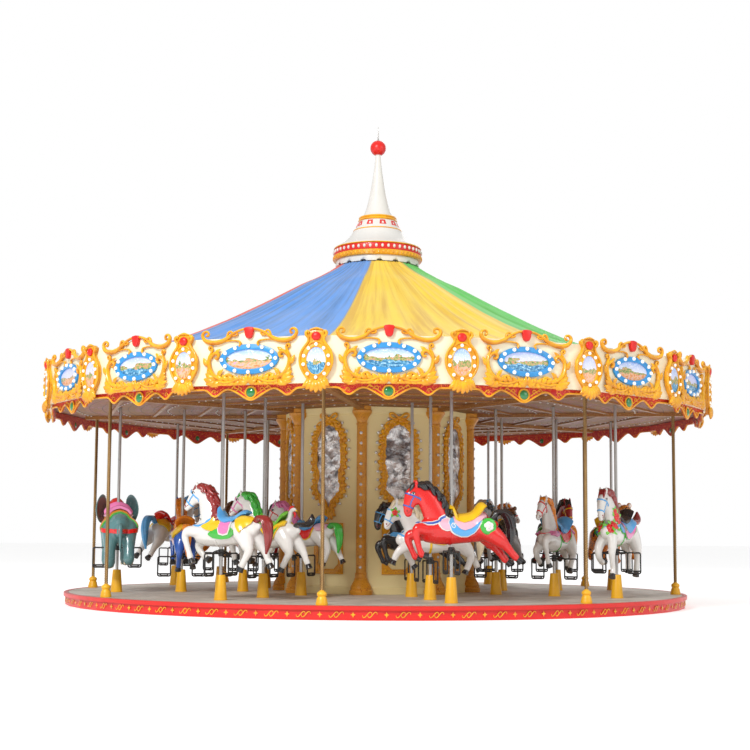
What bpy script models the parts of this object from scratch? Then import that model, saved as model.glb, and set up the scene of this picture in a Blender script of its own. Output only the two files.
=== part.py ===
# Fairground carousel: 24 galloping animals, three abreast on eight sweeps.
# The platform, its centre drum, posts, ceiling and roof turn about the mast on a fixed base.
# Metres, +Z up, origin on the ground under the mast, angles counted from -Y towards +X.

import math

import bmesh
import bpy
from mathutils import Matrix, Vector

GAP = 0.0003                     # clearance between touching pieces
BAYS = 8                         # sweeps, posts and rows of animals
BAY_ANGLE = 2 * math.pi / BAYS

# fixed base: a ring wall with a hub and eight flat bars inside it
SKIRT_OUTER_R = 4.28
SKIRT_WALL = 0.07
SKIRT_TOP = 0.124
SKIRT_SIDES = 48
BASE_BAR_HEIGHT = 0.02
BASE_BAR_WIDTH = 0.12
HUB_R = 0.52
HUB_TOP = 0.07
MAST_R = 0.17
MAST_TOP = 4.66
MAST_FLANGE_R = 0.24

# turning platform, its deck in eight segments that meet under the posts
DECK_R = 4.30
DECK_TOP = 0.16
DECK_THICKNESS = 0.03
DECK_SIDES = 64
DECK_HOLE_R = 0.34
CONE_SIDES = 8
CONE_HEIGHT = 0.30
CONE_FOOT_R = 0.078
CONE_TOP_R = 0.052
CEILING_Z = 2.66
CEILING_THICKNESS = 0.05
CEILING_HOLE_R = 0.40
POLE_SLOT_R = 0.032              # the poles run through the ceiling with 12 mm to spare

# centre drum
DRUM_R = 1.33
DRUM_WALL = 0.05
PILLAR_R = 0.068
PILLAR_FOOT_R = 0.158
PILLAR_CAPITAL_R = 0.135
MIRROR_HALF = ((0, 1.17), (0.15, 1.34), (0.26, 1.50), (0.26, 2.28), (0.13, 2.50), (0, 2.54))
MIRROR_PROUD = 0.03
LOWER_PANEL_HALF_WIDTH = 0.23
LOWER_PANEL_LOW = 0.42
LOWER_PANEL_HIGH = 1.11
LOWER_PANEL_PROUD = 0.02

# outer posts
POST_R = 4.16
POST_RADIUS = 0.024
POST_FOOT_R = 0.073
POST_FOOT_HEIGHT = 0.16

# cornice: 18 flat boards with a shield on each corner
BOARDS = 18
CORNICE_R = 4.63
CORNICE_THICKNESS = 0.05
BOARD_BOTTOM = 2.62
BOARD_TOP = 3.15
CREST_TOP = 3.29
SCROLL_TOP = 3.21
SHIELD_HALF = ((0.06, 2.52), (0.10, 2.66), (0.18, 2.88), (0.15, 3.04), (0.08, 3.11), (0.115, 3.22))
SHIELD_FRONT_R = 4.68
SHIELD_BACK_R = 4.585
VALANCE_THICKNESS = 0.02
VALANCE_TIP = 2.45
VALANCE_SIDE_TIP = 2.51
VALANCE_VALLEY = 2.57

# roof: outer surface as (radius, height) from the eave up to the crown
ROOF_PROFILE = ((4.44, 3.08), (3.30, 3.43), (2.30, 3.86), (1.20, 4.45), (0.56, 4.80))
ROOF_THICKNESS = 0.02
ROOF_SIDES = 32
ROOF_SAG = 0.035                 # between two rafters
RAFTER_DEPTH = 0.07
RAFTER_HALF_WIDTH = 0.03
RAFTER_DROP = 0.03               # from the canopy's outer surface to the rafters' tops
BEARING_R = 0.50

# crown, spire and ball on the peak, as (radius, height) from the bottom up
CROWN_PROFILE = ((0.61, 4.80), (0.61, 4.93), (0.64, 4.94), (0.63, 5.06), (0.48, 5.16), (0.35, 5.31),
                 (0.35, 5.37), (0.30, 5.38), (0.26, 5.53))
CROWN_SIDES = 20
SPIRE_PROFILE = ((0.21, 5.53), (0.155, 5.75), (0.115, 5.95), (0.085, 6.12), (0.055, 6.30), (0.04, 6.45))
SPIRE_SIDES = 16
BALL_Z = 6.56
BALL_R = 0.11
NEEDLE_R = 0.014
NEEDLE_TIP = 6.88

# animals
RING_R = {"outer": 3.61, "mid": 2.74, "inner": 1.89}
RING_SCALE = {"outer": 1.0, "mid": 0.95, "inner": 0.86}
STROKE = 0.15                    # each animal gallops this far up and down from mid height
ROW_LIFT = (0.065, 0.045, 0.0, -0.06, -0.03, 0.03, 0.06, 0.02)
SADDLE_LINE = 0.945              # height of an animal's own origin at mid stroke
POLE_R = 0.020
POLE_SIDES = 6
POLE_LOW = -0.745
POLE_HIGH = 2.015
FOOT_BAR_Z = -0.25
LOOP_INNER = 0.14
LOOP_OUTER = 0.33
LOOP_DROP = 0.27
BAR = 0.016
ODD_ANIMALS = {("outer", 6): "elephant", ("outer", 2): "tiger", ("inner", 2): "bear"}

COLOURS = {
    "red": (0.75, 0.03, 0.02, 0.45, 0.0),
    "cream": (0.82, 0.77, 0.48, 0.5, 0.0),
    "brass": (0.65, 0.45, 0.18, 0.3, 0.9),
    "steel": (0.42, 0.40, 0.38, 0.35, 0.9),
    "dark_steel": (0.06, 0.06, 0.06, 0.5, 0.6),
    "plate": (0.50, 0.47, 0.41, 0.55, 0.3),
    "ceiling": (0.55, 0.30, 0.12, 0.5, 0.0),
    "canvas": (0.12, 0.30, 0.75, 0.6, 0.0),
    "white": (0.90, 0.89, 0.86, 0.35, 0.0),
    "grey": (0.22, 0.33, 0.34, 0.4, 0.0),
    "orange": (0.80, 0.30, 0.06, 0.4, 0.0),
    "brown": (0.20, 0.13, 0.08, 0.45, 0.0),
}


def material(name):
    found = bpy.data.materials.get(name)
    if found:
        return found
    red, green, blue, roughness, metallic = COLOURS[name]
    made = bpy.data.materials.new(name)
    made.use_nodes = True
    shader = made.node_tree.nodes["Principled BSDF"]
    shader.inputs["Base Color"].default_value = (red, green, blue, 1)
    shader.inputs["Roughness"].default_value = roughness
    shader.inputs["Metallic"].default_value = metallic
    return made


def bay(index):
    # angle of a row of animals
    return index * BAY_ANGLE


def corner(index):
    # angle of a post or drum pillar, half a bay on
    return (index + 0.5) * BAY_ANGLE


def at(radius, angle, z=0.0):
    return Vector((radius * math.sin(angle), -radius * math.cos(angle), z))


def add_object(name, shape, finish, smooth=None):
    # shape is a bmesh, which is used up
    bmesh.ops.recalc_face_normals(shape, faces=shape.faces)
    mesh = bpy.data.meshes.new(name)
    shape.to_mesh(mesh)
    shape.free()
    if smooth:
        mesh.shade_smooth()
        mesh.set_sharp_from_angle(angle=math.radians(smooth))
    made = bpy.data.objects.new(name, mesh)
    made.data.materials.append(material(finish))
    bpy.context.collection.objects.link(made)
    return made


def loft(shape, rings):
    # closed solid through rings of points; a ring of one point is a tip
    rows = [[shape.verts.new(point) for point in ring] for ring in rings]
    for low, high in zip(rows, rows[1:]):
        count = max(len(low), len(high))
        for i in range(count):
            j = (i + 1) % count
            corners = [low[i % len(low)], low[j % len(low)], high[j % len(high)], high[i % len(high)]]
            unique = list(dict.fromkeys(corners))
            shape.faces.new(unique)
    for row in (rows[0], rows[-1]):
        if len(row) > 2:
            shape.faces.new(row)


def lathe(shape, profile, sides, turn=0.0, centre=(0, 0)):
    # solid of revolution about a vertical axis; a radius of 0 is a tip
    rings = []
    for radius, z in profile:
        if radius == 0:
            rings.append([Vector((centre[0], centre[1], z))])
            continue
        ring = []
        for i in range(sides):
            angle = turn + 2 * math.pi * i / sides
            ring.append(Vector((centre[0], centre[1], 0)) + at(radius, angle, z))
        rings.append(ring)
    loft(shape, rings)


def tube_ring(shape, sections):
    # closed ring: each section is the same loop of points, one section after another
    rows = [[shape.verts.new(point) for point in section] for section in sections]
    for low, high in zip(rows, rows[1:] + rows[:1]):
        for i in range(len(low)):
            j = (i + 1) % len(low)
            shape.faces.new((low[i], low[j], high[j], high[i]))


def box(shape, low, high, placing=None):
    made = bmesh.ops.create_cube(shape, size=1.0)["verts"]
    middle = [(a + b) / 2 for a, b in zip(low, high)]
    size = [b - a for a, b in zip(low, high)]
    bmesh.ops.scale(shape, vec=size, verts=made)
    bmesh.ops.translate(shape, vec=middle, verts=made)
    if placing:
        bmesh.ops.transform(shape, matrix=placing, verts=made)


def extrude_outline(shape, outline, low, high, placing=None):
    # outline holds (x, z) pairs; the solid runs from y = low to y = high
    front = [shape.verts.new((x, low, z)) for x, z in outline]
    back = [shape.verts.new((x, high, z)) for x, z in outline]
    shape.faces.new(front)
    shape.faces.new(back)
    for i in range(len(outline)):
        j = (i + 1) % len(outline)
        shape.faces.new((front[i], front[j], back[j], back[i]))
    if placing:
        bmesh.ops.transform(shape, matrix=placing, verts=front + back)


def combine(target, cutter_shape, operation="UNION"):
    # join or cut with a second shape whose own parts may overlap, then keep the result as the mesh
    cutter = add_object("cutter", cutter_shape, "steel")
    cutter.hide_render = True
    cutter.display_type = "WIRE"
    step = target.modifiers.new("combine", "BOOLEAN")
    step.operation = operation
    step.solver = "EXACT"
    step.use_self = True
    step.object = cutter
    graph = bpy.context.evaluated_depsgraph_get()
    result = bpy.data.meshes.new_from_object(target.evaluated_get(graph))
    target.modifiers.clear()
    target.data = result
    bpy.data.objects.remove(cutter, do_unlink=True)
    tidy = bmesh.new()
    tidy.from_mesh(result)
    bmesh.ops.remove_doubles(tidy, verts=tidy.verts, dist=0.00001)
    bmesh.ops.dissolve_limit(tidy, angle_limit=math.radians(0.2), verts=tidy.verts, edges=tidy.edges)
    bmesh.ops.triangulate(tidy, faces=tidy.faces)
    tidy.to_mesh(result)
    tidy.free()
    return target


def turned(angle):
    # rotation that carries a piece made at angle 0 (on the -Y side) round to this angle
    return Matrix.Rotation(angle, 4, "Z")


def make_base_skirt():
    shape = bmesh.new()
    sections = []
    for i in range(SKIRT_SIDES):
        angle = 2 * math.pi * i / SKIRT_SIDES
        inner = SKIRT_OUTER_R - SKIRT_WALL
        sections.append([at(SKIRT_OUTER_R, angle, 0), at(SKIRT_OUTER_R, angle, SKIRT_TOP),
                         at(inner, angle, SKIRT_TOP), at(inner, angle, 0)])
    tube_ring(shape, sections)
    return add_object("base_skirt", shape, "red", smooth=30)


def make_base_frame():
    # hub plate under the mast with eight flat bars out to the skirt
    shape = bmesh.new()
    lathe(shape, ((HUB_R, 0), (HUB_R, HUB_TOP), (HUB_R * 0.9, HUB_TOP + 0.01)), 16, turn=BAY_ANGLE / 4)
    frame = add_object("base_frame", shape, "dark_steel")
    bars = bmesh.new()
    # each bar meets a corner of the skirt's inner wall, so its two edges touch the flats beside it
    half = BASE_BAR_WIDTH / 2
    reach = SKIRT_OUTER_R - SKIRT_WALL - half * math.tan(math.pi / SKIRT_SIDES) - 2 * GAP
    for i in range(BAYS):
        box(bars, (-half, -reach, 0), (half, -HUB_R / 2, BASE_BAR_HEIGHT), turned(corner(i)))
    return combine(frame, bars)


def make_centre_mast():
    shape = bmesh.new()
    foot = HUB_TOP + 0.01 + GAP
    lathe(shape, ((0.34, foot), (0.34, foot + 0.03), (MAST_R, foot + 0.03), (MAST_R, MAST_TOP - 0.05),
                  (MAST_FLANGE_R, MAST_TOP - 0.05), (MAST_FLANGE_R, MAST_TOP)), 16)
    return add_object("centre_mast", shape, "dark_steel", smooth=30)


def animal_places():
    for ring, radius in RING_R.items():
        for row in range(BAYS):
            yield ring, row, at(radius, bay(row))


def make_deck_segment(index):
    # sector of the platform from one post to the next, with a row of three floor cones
    first = corner(index - 1)
    outline = []
    for radius, steps in ((DECK_R, DECK_SIDES // BAYS), (DECK_HOLE_R, 2)):
        arc = [at(radius, first + BAY_ANGLE * i / steps) for i in range(steps + 1)]
        # the ends draw back by half a gap each from the segments beside
        arc[0] += at(GAP / 2, first + math.pi / 2)
        arc[-1] -= at(GAP / 2, first + BAY_ANGLE + math.pi / 2)
        outline += arc if radius == DECK_R else arc[::-1]
    shape = bmesh.new()
    levels = (DECK_TOP - DECK_THICKNESS, DECK_TOP)
    loft(shape, [[point + Vector((0, 0, z)) for point in outline] for z in levels])
    segment = add_object(f"deck_{index + 1}", shape, "plate")
    cones = bmesh.new()
    bores = bmesh.new()
    for radius in RING_R.values():
        spot = at(radius, bay(index))
        lathe(cones, ((CONE_FOOT_R, DECK_TOP - 0.01), (CONE_TOP_R, DECK_TOP + CONE_HEIGHT)), CONE_SIDES,
              turn=bay(index), centre=spot)
        lathe(bores, ((POLE_R + GAP, 0), (POLE_R + GAP, DECK_TOP + CONE_HEIGHT + 0.1)), POLE_SIDES,
              turn=bay(index), centre=spot)
    combine(segment, cones)
    return combine(segment, bores, "DIFFERENCE")


def make_drum():
    # eight-sided wall with a pillar on each corner, a mirror board and a lower panel on each side
    shape = bmesh.new()
    low = DECK_TOP + GAP
    high = CEILING_Z - GAP
    inner = DRUM_R - DRUM_WALL / math.cos(BAY_ANGLE / 2)
    tube_ring(shape, [[at(DRUM_R, corner(i), low), at(DRUM_R, corner(i), high),
                       at(inner, corner(i), high), at(inner, corner(i), low)] for i in range(BAYS)])
    drum = add_object("centre_drum", shape, "cream")
    trim = bmesh.new()
    face = DRUM_R * math.cos(BAY_ANGLE / 2)
    mirror = list(MIRROR_HALF) + [(-x, z) for x, z in MIRROR_HALF[-2:0:-1]]
    for i in range(BAYS):
        pillar = ((PILLAR_FOOT_R, low), (0.09, low + 0.16), (PILLAR_R, low + 0.2), (PILLAR_R, high - 0.17),
                  (PILLAR_CAPITAL_R, high - 0.08), (PILLAR_CAPITAL_R, high))
        lathe(trim, pillar, 6, turn=corner(i), centre=at(DRUM_R, corner(i)))
        extrude_outline(trim, mirror, -face - MIRROR_PROUD, -face + 0.01, turned(bay(i)))
        box(trim, (-LOWER_PANEL_HALF_WIDTH, -face - LOWER_PANEL_PROUD, LOWER_PANEL_LOW),
            (LOWER_PANEL_HALF_WIDTH, -face + 0.01, LOWER_PANEL_HIGH), turned(bay(i)))
    return combine(drum, trim)


def make_post(index):
    shape = bmesh.new()
    low = DECK_TOP + GAP
    high = CEILING_Z - GAP
    profile = ((POST_FOOT_R, low), (POST_FOOT_R, low + 0.06), (0.045, low + 0.13),
               (POST_RADIUS, low + POST_FOOT_HEIGHT), (POST_RADIUS, high))
    lathe(shape, profile, 8)
    post = add_object(f"post_{index + 1}", shape, "brass", smooth=40)
    post.location = at(POST_R, corner(index))
    post.rotation_euler = (0, 0, corner(index))
    return post


def cornice_inner():
    # distance from the axis to the flat inner face of the boards
    return CORNICE_R * math.cos(math.pi / BOARDS) - CORNICE_THICKNESS


def make_ceiling():
    # flat ceiling inside the cornice, with a slot for each pole and the hole for the mast
    shape = bmesh.new()
    rim = (cornice_inner() - 2 * GAP) / math.cos(math.pi / BOARDS)
    start = -BAY_ANGLE / 2
    lathe(shape, ((rim, CEILING_Z), (rim, CEILING_Z + CEILING_THICKNESS)), BOARDS, turn=start)
    ceiling = add_object("ceiling", shape, "ceiling")
    cuts = bmesh.new()
    for ring, row, spot in animal_places():
        lathe(cuts, ((POLE_SLOT_R, CEILING_Z - 0.2), (POLE_SLOT_R, CEILING_Z + 0.2)), POLE_SIDES,
              turn=bay(row), centre=spot)
    lathe(cuts, ((CEILING_HOLE_R, CEILING_Z - 0.2), (CEILING_HOLE_R, CEILING_Z + 0.2)), 16)
    return combine(ceiling, cuts, "DIFFERENCE")


def board_ring(shape, outer, thickness, stations):
    # 18-sided wall; each station is (share of a side, bottom, top)
    sections = []
    for side in range(BOARDS):
        first = -BAY_ANGLE / 2 + 2 * math.pi * side / BOARDS
        second = first + 2 * math.pi / BOARDS
        inner = outer - thickness / math.cos(math.pi / BOARDS)
        for share, low, high in stations:
            out = at(outer, first).lerp(at(outer, second), share)
            back = at(inner, first).lerp(at(inner, second), share)
            sections.append([Vector((out.x, out.y, low)), Vector((out.x, out.y, high)),
                             Vector((back.x, back.y, high)), Vector((back.x, back.y, low))])
    tube_ring(shape, sections)


def make_cornice():
    shape = bmesh.new()
    stations = ((0.0, BOARD_BOTTOM, BOARD_TOP), (0.16, BOARD_BOTTOM, SCROLL_TOP),
                (0.33, BOARD_BOTTOM, BOARD_TOP), (0.5, BOARD_BOTTOM, CREST_TOP),
                (0.67, BOARD_BOTTOM, BOARD_TOP), (0.84, BOARD_BOTTOM, SCROLL_TOP))
    board_ring(shape, CORNICE_R, CORNICE_THICKNESS, stations)
    cornice = add_object("cornice", shape, "cream")
    shields = bmesh.new()
    outline = list(SHIELD_HALF) + [(-x, z) for x, z in reversed(SHIELD_HALF)]
    for i in range(BOARDS):
        extrude_outline(shields, outline, -SHIELD_FRONT_R, -SHIELD_BACK_R,
                        turned(-BAY_ANGLE / 2 + 2 * math.pi * i / BOARDS))
    return combine(cornice, shields)


def make_valance():
    # scalloped fringe under the ceiling's edge, just behind the boards
    shape = bmesh.new()
    top = CEILING_Z - GAP
    outer = (cornice_inner() - 0.01) / math.cos(math.pi / BOARDS)
    stations = ((0.0, VALANCE_VALLEY, top), (0.18, VALANCE_SIDE_TIP, top), (0.34, VALANCE_VALLEY, top),
                (0.5, VALANCE_TIP, top), (0.66, VALANCE_VALLEY, top), (0.82, VALANCE_SIDE_TIP, top))
    board_ring(shape, outer, VALANCE_THICKNESS, stations)
    return add_object("valance", shape, "red")


def make_roof_frame():
    # bearing plate on the mast with a rafter down to the eave over each sweep
    shape = bmesh.new()
    top = ROOF_PROFILE[-1][1] - GAP
    lathe(shape, ((BEARING_R, MAST_TOP + GAP), (BEARING_R, top)), 16, turn=BAY_ANGLE / 4)
    frame = add_object("roof_frame", shape, "dark_steel")
    rafters = bmesh.new()
    upper = [(radius, z - RAFTER_DROP) for radius, z in ROOF_PROFILE[:-1]]
    upper[0] = (ROOF_PROFILE[0][0] - ROOF_THICKNESS - 0.01, upper[0][1])
    path = upper + [(BEARING_R - 0.1, MAST_TOP + RAFTER_DEPTH + 0.01)]
    outline = path + [(radius, z - RAFTER_DEPTH) for radius, z in reversed(path)]
    for i in range(BAYS):
        # the outline lies in the radius and height plane, so it is turned a quarter on
        placing = turned(corner(i)) @ Matrix.Rotation(-math.pi / 2, 4, "Z")
        extrude_outline(rafters, outline, -RAFTER_HALF_WIDTH, RAFTER_HALF_WIDTH, placing)
    return combine(frame, rafters)


def make_canopy():
    # cloth roof, drawn down a little between the rafters, standing on the ceiling inside the cornice
    shape = bmesh.new()
    sections = []
    foot = CEILING_Z + CEILING_THICKNESS + GAP
    for i in range(ROOF_SIDES):
        angle = 2 * math.pi * i / ROOF_SIDES
        between = 0.5 + 0.5 * math.cos(BAYS * angle)
        outer = []
        for step, (radius, z) in enumerate(ROOF_PROFILE):
            sag = ROOF_SAG * between * math.sin(math.pi * step / (len(ROOF_PROFILE) - 1))
            outer.append((radius, z - sag))
        inner = [(radius - 0.006, z - ROOF_THICKNESS) for radius, z in outer]
        inner[0] = (outer[0][0] - ROOF_THICKNESS, inner[0][1])
        inner[-1] = (ROOF_PROFILE[-1][0] - 0.04, ROOF_PROFILE[-1][1])
        loop = [(outer[0][0], foot)] + outer + inner[::-1] + [(inner[0][0], foot)]
        sections.append([at(radius, angle, z) for radius, z in loop])
    tube_ring(shape, sections)
    return add_object("canopy", shape, "canvas", smooth=25)


def lifted(profile):
    # a profile whose lowest point starts just clear of the piece below
    radius, z = profile[0]
    return ((radius, z + GAP),) + profile[1:]


def make_crown():
    shape = bmesh.new()
    lathe(shape, lifted(CROWN_PROFILE), CROWN_SIDES)
    return add_object("crown", shape, "white", smooth=30)


def make_spire():
    shape = bmesh.new()
    lathe(shape, lifted(SPIRE_PROFILE), SPIRE_SIDES)
    return add_object("spire", shape, "white", smooth=30)


def make_finial_ball():
    shape = bmesh.new()
    profile = [(SPIRE_PROFILE[-1][0], BALL_Z - BALL_R + GAP)]
    for step in range(1, 6):
        tilt = math.pi * step / 6
        profile.append((BALL_R * math.sin(tilt), BALL_Z - BALL_R * math.cos(tilt)))
    profile += [(NEEDLE_R, BALL_Z + BALL_R), (0, NEEDLE_TIP)]
    lathe(shape, profile, 12)
    return add_object("finial_ball", shape, "red", smooth=40)


def limb(shape, path, sides, side_shift=0.0, scale=1.0):
    # tube along (x, z, half width, half depth) stations in the animal's own upright plane
    rings = []
    for index, (x, z, wide, deep) in enumerate(path):
        before = path[max(index - 1, 0)]
        after = path[min(index + 1, len(path) - 1)]
        along = Vector((after[0] - before[0], 0, after[1] - before[1])).normalized()
        across = Vector((-along.z, 0, along.x))
        ring = []
        for i in range(sides):
            angle = 2 * math.pi * (i + 0.5) / sides
            offset = across * deep * math.cos(angle) + Vector((0, wide * math.sin(angle), 0))
            ring.append((Vector((x, side_shift, z)) + offset) * scale)
        rings.append(ring)
    loft(shape, rings)


def horse_parts():
    body = ((-0.43, 0.06, 0.05, 0.06), (-0.32, 0.03, 0.15, 0.17), (0.24, 0.02, 0.145, 0.17),
            (0.39, 0.10, 0.07, 0.11))
    neck = ((0.28, 0.12, 0.08, 0.14), (0.42, 0.34, 0.06, 0.10), (0.50, 0.50, 0.06, 0.08),
            (0.72, 0.33, 0.04, 0.045))
    tail = ((-0.38, 0.10, 0.04, 0.04), (-0.53, 0.06, 0.06, 0.06), (-0.60, -0.26, 0.03, 0.04))
    legs = (((0.27, -0.03, 0.05, 0.08), (0.50, -0.15, 0.04, 0.045), (0.43, -0.38, 0.035, 0.04)),
            ((0.27, -0.03, 0.05, 0.08), (0.45, -0.24, 0.04, 0.045), (0.60, -0.38, 0.035, 0.04)),
            ((-0.27, -0.01, 0.06, 0.10), (-0.42, -0.20, 0.045, 0.05), (-0.64, -0.34, 0.035, 0.04)),
            ((-0.27, -0.01, 0.06, 0.10), (-0.34, -0.24, 0.045, 0.05), (-0.52, -0.42, 0.035, 0.04)))
    return body, neck, tail, legs


def elephant_parts():
    body = ((-0.42, 0.02, 0.10, 0.12), (-0.28, 0.02, 0.25, 0.26), (0.24, 0.05, 0.24, 0.25),
            (0.36, 0.10, 0.12, 0.16))
    neck = ((0.24, 0.22, 0.14, 0.16), (0.44, 0.26, 0.15, 0.16), (0.56, 0.10, 0.07, 0.08),
            (0.62, -0.26, 0.04, 0.04))
    tail = ((-0.38, 0.10, 0.03, 0.03), (-0.47, -0.02, 0.025, 0.025), (-0.49, -0.26, 0.02, 0.02))
    legs = (((0.22, -0.06, 0.09, 0.11), (0.34, -0.22, 0.07, 0.08), (0.40, -0.40, 0.07, 0.08)),
            ((0.22, -0.06, 0.09, 0.11), (0.26, -0.26, 0.07, 0.08), (0.24, -0.46, 0.07, 0.08)),
            ((-0.26, -0.06, 0.10, 0.12), (-0.30, -0.24, 0.08, 0.09), (-0.30, -0.46, 0.07, 0.08)),
            ((-0.26, -0.06, 0.10, 0.12), (-0.36, -0.22, 0.08, 0.09), (-0.46, -0.38, 0.07, 0.08)))
    return body, neck, tail, legs


def beast_parts():
    # tiger and bear: level back, low head carried forwards
    body = ((-0.42, 0.04, 0.07, 0.08), (-0.30, 0.02, 0.16, 0.17), (0.24, 0.03, 0.16, 0.17),
            (0.38, 0.10, 0.09, 0.12))
    neck = ((0.24, 0.12, 0.11, 0.14), (0.42, 0.28, 0.11, 0.12), (0.54, 0.32, 0.12, 0.13),
            (0.70, 0.25, 0.05, 0.06))
    tail = ((-0.38, 0.10, 0.04, 0.04), (-0.52, 0.14, 0.035, 0.035), (-0.62, 0.30, 0.03, 0.03))
    legs = horse_parts()[3]
    return body, neck, tail, legs


def make_animal(kind, ring, row):
    maker = {"elephant": elephant_parts, "tiger": beast_parts, "bear": beast_parts}.get(kind, horse_parts)
    scale = RING_SCALE[ring]
    body, neck, tail, legs = maker()
    leg_out = 0.14 if kind == "elephant" else 0.08
    shape = bmesh.new()
    limb(shape, body, 6, scale=scale)
    finish = {"elephant": "grey", "tiger": "orange", "bear": "brown"}.get(kind, "white")
    animal = add_object(f"{kind}_{ring}_{row + 1}", shape, finish, smooth=40)
    rest = bmesh.new()
    limb(rest, neck, 4, scale=scale)
    limb(rest, tail, 3, scale=scale)
    for index, leg in enumerate(legs):
        limb(rest, leg, 3, side_shift=leg_out if index % 2 else -leg_out, scale=scale)
    lathe(rest, ((POLE_R, POLE_LOW), (POLE_R, POLE_HIGH)), POLE_SIDES, turn=math.pi)
    add_footrest(rest)
    combine(animal, rest)
    # the animal's nose points along its own +X and it travels clockwise seen from above
    lift = ROW_LIFT[row] if ring == "outer" else -ROW_LIFT[row]
    animal.location = at(RING_R[ring], bay(row), SADDLE_LINE + lift)
    animal.rotation_euler = (0, 0, bay(row) + math.pi)
    return animal


def add_footrest(shape):
    # cross bar through the pole with a hanging frame for each foot
    half = BAR / 2
    low = FOOT_BAR_Z - LOOP_DROP
    box(shape, (-half, -LOOP_OUTER, FOOT_BAR_Z - half), (half, LOOP_OUTER, FOOT_BAR_Z + half))
    for side in (-1, 1):
        for reach in (LOOP_INNER, LOOP_OUTER - BAR):
            near = side * reach
            far = side * (reach + BAR)
            box(shape, (-half, min(near, far), low - half), (half, max(near, far), FOOT_BAR_Z))
        ends = sorted((side * LOOP_INNER, side * LOOP_OUTER))
        box(shape, (-half, ends[0], low - half), (half, ends[1], low + half))


def build():
    for old in list(bpy.data.objects):
        bpy.data.objects.remove(old, do_unlink=True)
    base = bpy.data.objects.new("base", None)
    turntable = bpy.data.objects.new("turntable", None)
    bpy.context.collection.objects.link(base)
    bpy.context.collection.objects.link(turntable)
    turntable.parent = base
    for piece in (make_base_skirt(), make_base_frame(), make_centre_mast()):
        piece.parent = base
    platform = [make_deck_segment(index) for index in range(BAYS)]
    platform += [make_drum(), make_ceiling(), make_cornice(), make_valance(), make_roof_frame(),
                 make_canopy(), make_crown(), make_spire(), make_finial_ball()]
    platform += [make_post(index) for index in range(BAYS)]
    for ring in RING_R:
        for row in range(BAYS):
            platform.append(make_animal(ODD_ANIMALS.get((ring, row), "horse"), ring, row))
    for piece in platform:
        piece.parent = turntable


build()
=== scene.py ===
# Fairground carousel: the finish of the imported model, in metres, +Z up.
# Angles are counted from the -Y side towards +X; most pieces are modelled at the front
# (angle 0, facing -Y), then turned round the mast to where they belong.
import random
from math import atan2, cos, exp, floor, hypot, pi, radians, sin

import bpy
from mathutils import Matrix, Vector, bvhtree, noise


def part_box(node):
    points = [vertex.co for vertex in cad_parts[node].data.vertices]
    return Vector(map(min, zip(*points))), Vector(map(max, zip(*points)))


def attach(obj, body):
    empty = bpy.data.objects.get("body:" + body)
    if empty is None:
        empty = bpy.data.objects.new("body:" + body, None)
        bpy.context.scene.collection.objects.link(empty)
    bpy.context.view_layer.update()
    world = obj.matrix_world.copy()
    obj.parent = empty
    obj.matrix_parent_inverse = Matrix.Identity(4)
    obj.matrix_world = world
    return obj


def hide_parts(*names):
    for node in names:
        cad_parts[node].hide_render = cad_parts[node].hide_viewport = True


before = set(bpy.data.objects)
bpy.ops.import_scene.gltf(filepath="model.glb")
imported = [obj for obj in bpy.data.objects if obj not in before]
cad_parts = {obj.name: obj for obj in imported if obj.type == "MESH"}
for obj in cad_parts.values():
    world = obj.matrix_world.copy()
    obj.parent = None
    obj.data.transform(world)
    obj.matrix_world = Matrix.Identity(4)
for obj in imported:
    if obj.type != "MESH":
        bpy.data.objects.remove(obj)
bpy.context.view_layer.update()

bayStep = pi / 4
boardStep = pi / 9
boardAngles = [radians(-12.5) + boardStep * i for i in range(18)]
shieldAngles = [angle - boardStep / 2 for angle in boardAngles]
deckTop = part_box("post_1")[0].z
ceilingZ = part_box("ceiling")[0].z
rings = {"outer": (3.61, 1), "mid": (2.74, 0.95), "inner": (1.89, 0.86)}   # radius, size of the animals


# Small helpers

def at(radius, angle, z=0):
    return Vector((radius * sin(angle), -radius * cos(angle), z))


def about(angle):
    return Matrix.Rotation(angle, 4, "Z")


def knots(text):
    # points from "x z radius, x z radius" in millimetres; shares of thickness are in thousandths
    return [tuple(float(part) / 1000 for part in knot.split()) for knot in text.split(",")]


def bands(text):
    # strips from "x low high, x low high": x in millimetres, angles from the back in degrees
    rows = [[float(part) for part in band.split()] for band in text.split(",")]
    return [(x / 1000, *angles) for x, *angles in rows]


def nothingSelected():
    if bpy.context.mode != "OBJECT":
        bpy.ops.object.mode_set(mode="OBJECT")
    bpy.ops.object.select_all(action="DESELECT")


def pick(*pieces):
    nothingSelected()
    for piece in pieces:
        piece.select_set(True)
    bpy.context.view_layer.objects.active = pieces[-1]


def settle():
    # the picked piece's place, turn and size go into its mesh
    bpy.ops.object.transform_apply(location=True, rotation=True, scale=True)


def finished(piece, finish, smooth=None):
    # place goes into the mesh, one finish all over
    pick(piece)
    settle()
    piece.data.materials.clear()
    piece.data.materials.append(paint(finish) if isinstance(finish, str) else finish)
    if smooth:
        bpy.ops.object.shade_smooth_by_angle(angle=radians(smooth))
    return piece


def twinOf(piece, placing):
    twin = piece.copy()
    twin.data = piece.data.copy()
    bpy.context.collection.objects.link(twin)
    twin.data.transform(placing)
    if placing.determinant() < 0:
        twin.data.flip_normals()
    return twin


def withMirror(pieces):
    # the same pieces again on the other side of the middle
    flip = Matrix.Scale(-1, 4, (1, 0, 0))
    return pieces + [twinOf(piece, flip) for piece in pieces]


def removed(pieces):
    for piece in pieces:
        bpy.data.objects.remove(piece, do_unlink=True)


def joined(pieces):
    pick(*pieces)
    if len(pieces) > 1:
        bpy.ops.object.join()
    return bpy.context.object


def moved(*place):
    return Matrix.Translation(place[0] if len(place) == 1 else place)


def spread(piece, placings):
    # a copy of a piece at each placing, made one mesh
    copies = [twinOf(piece, placing) for placing in placings]
    removed([piece])
    return joined(copies)


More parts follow.
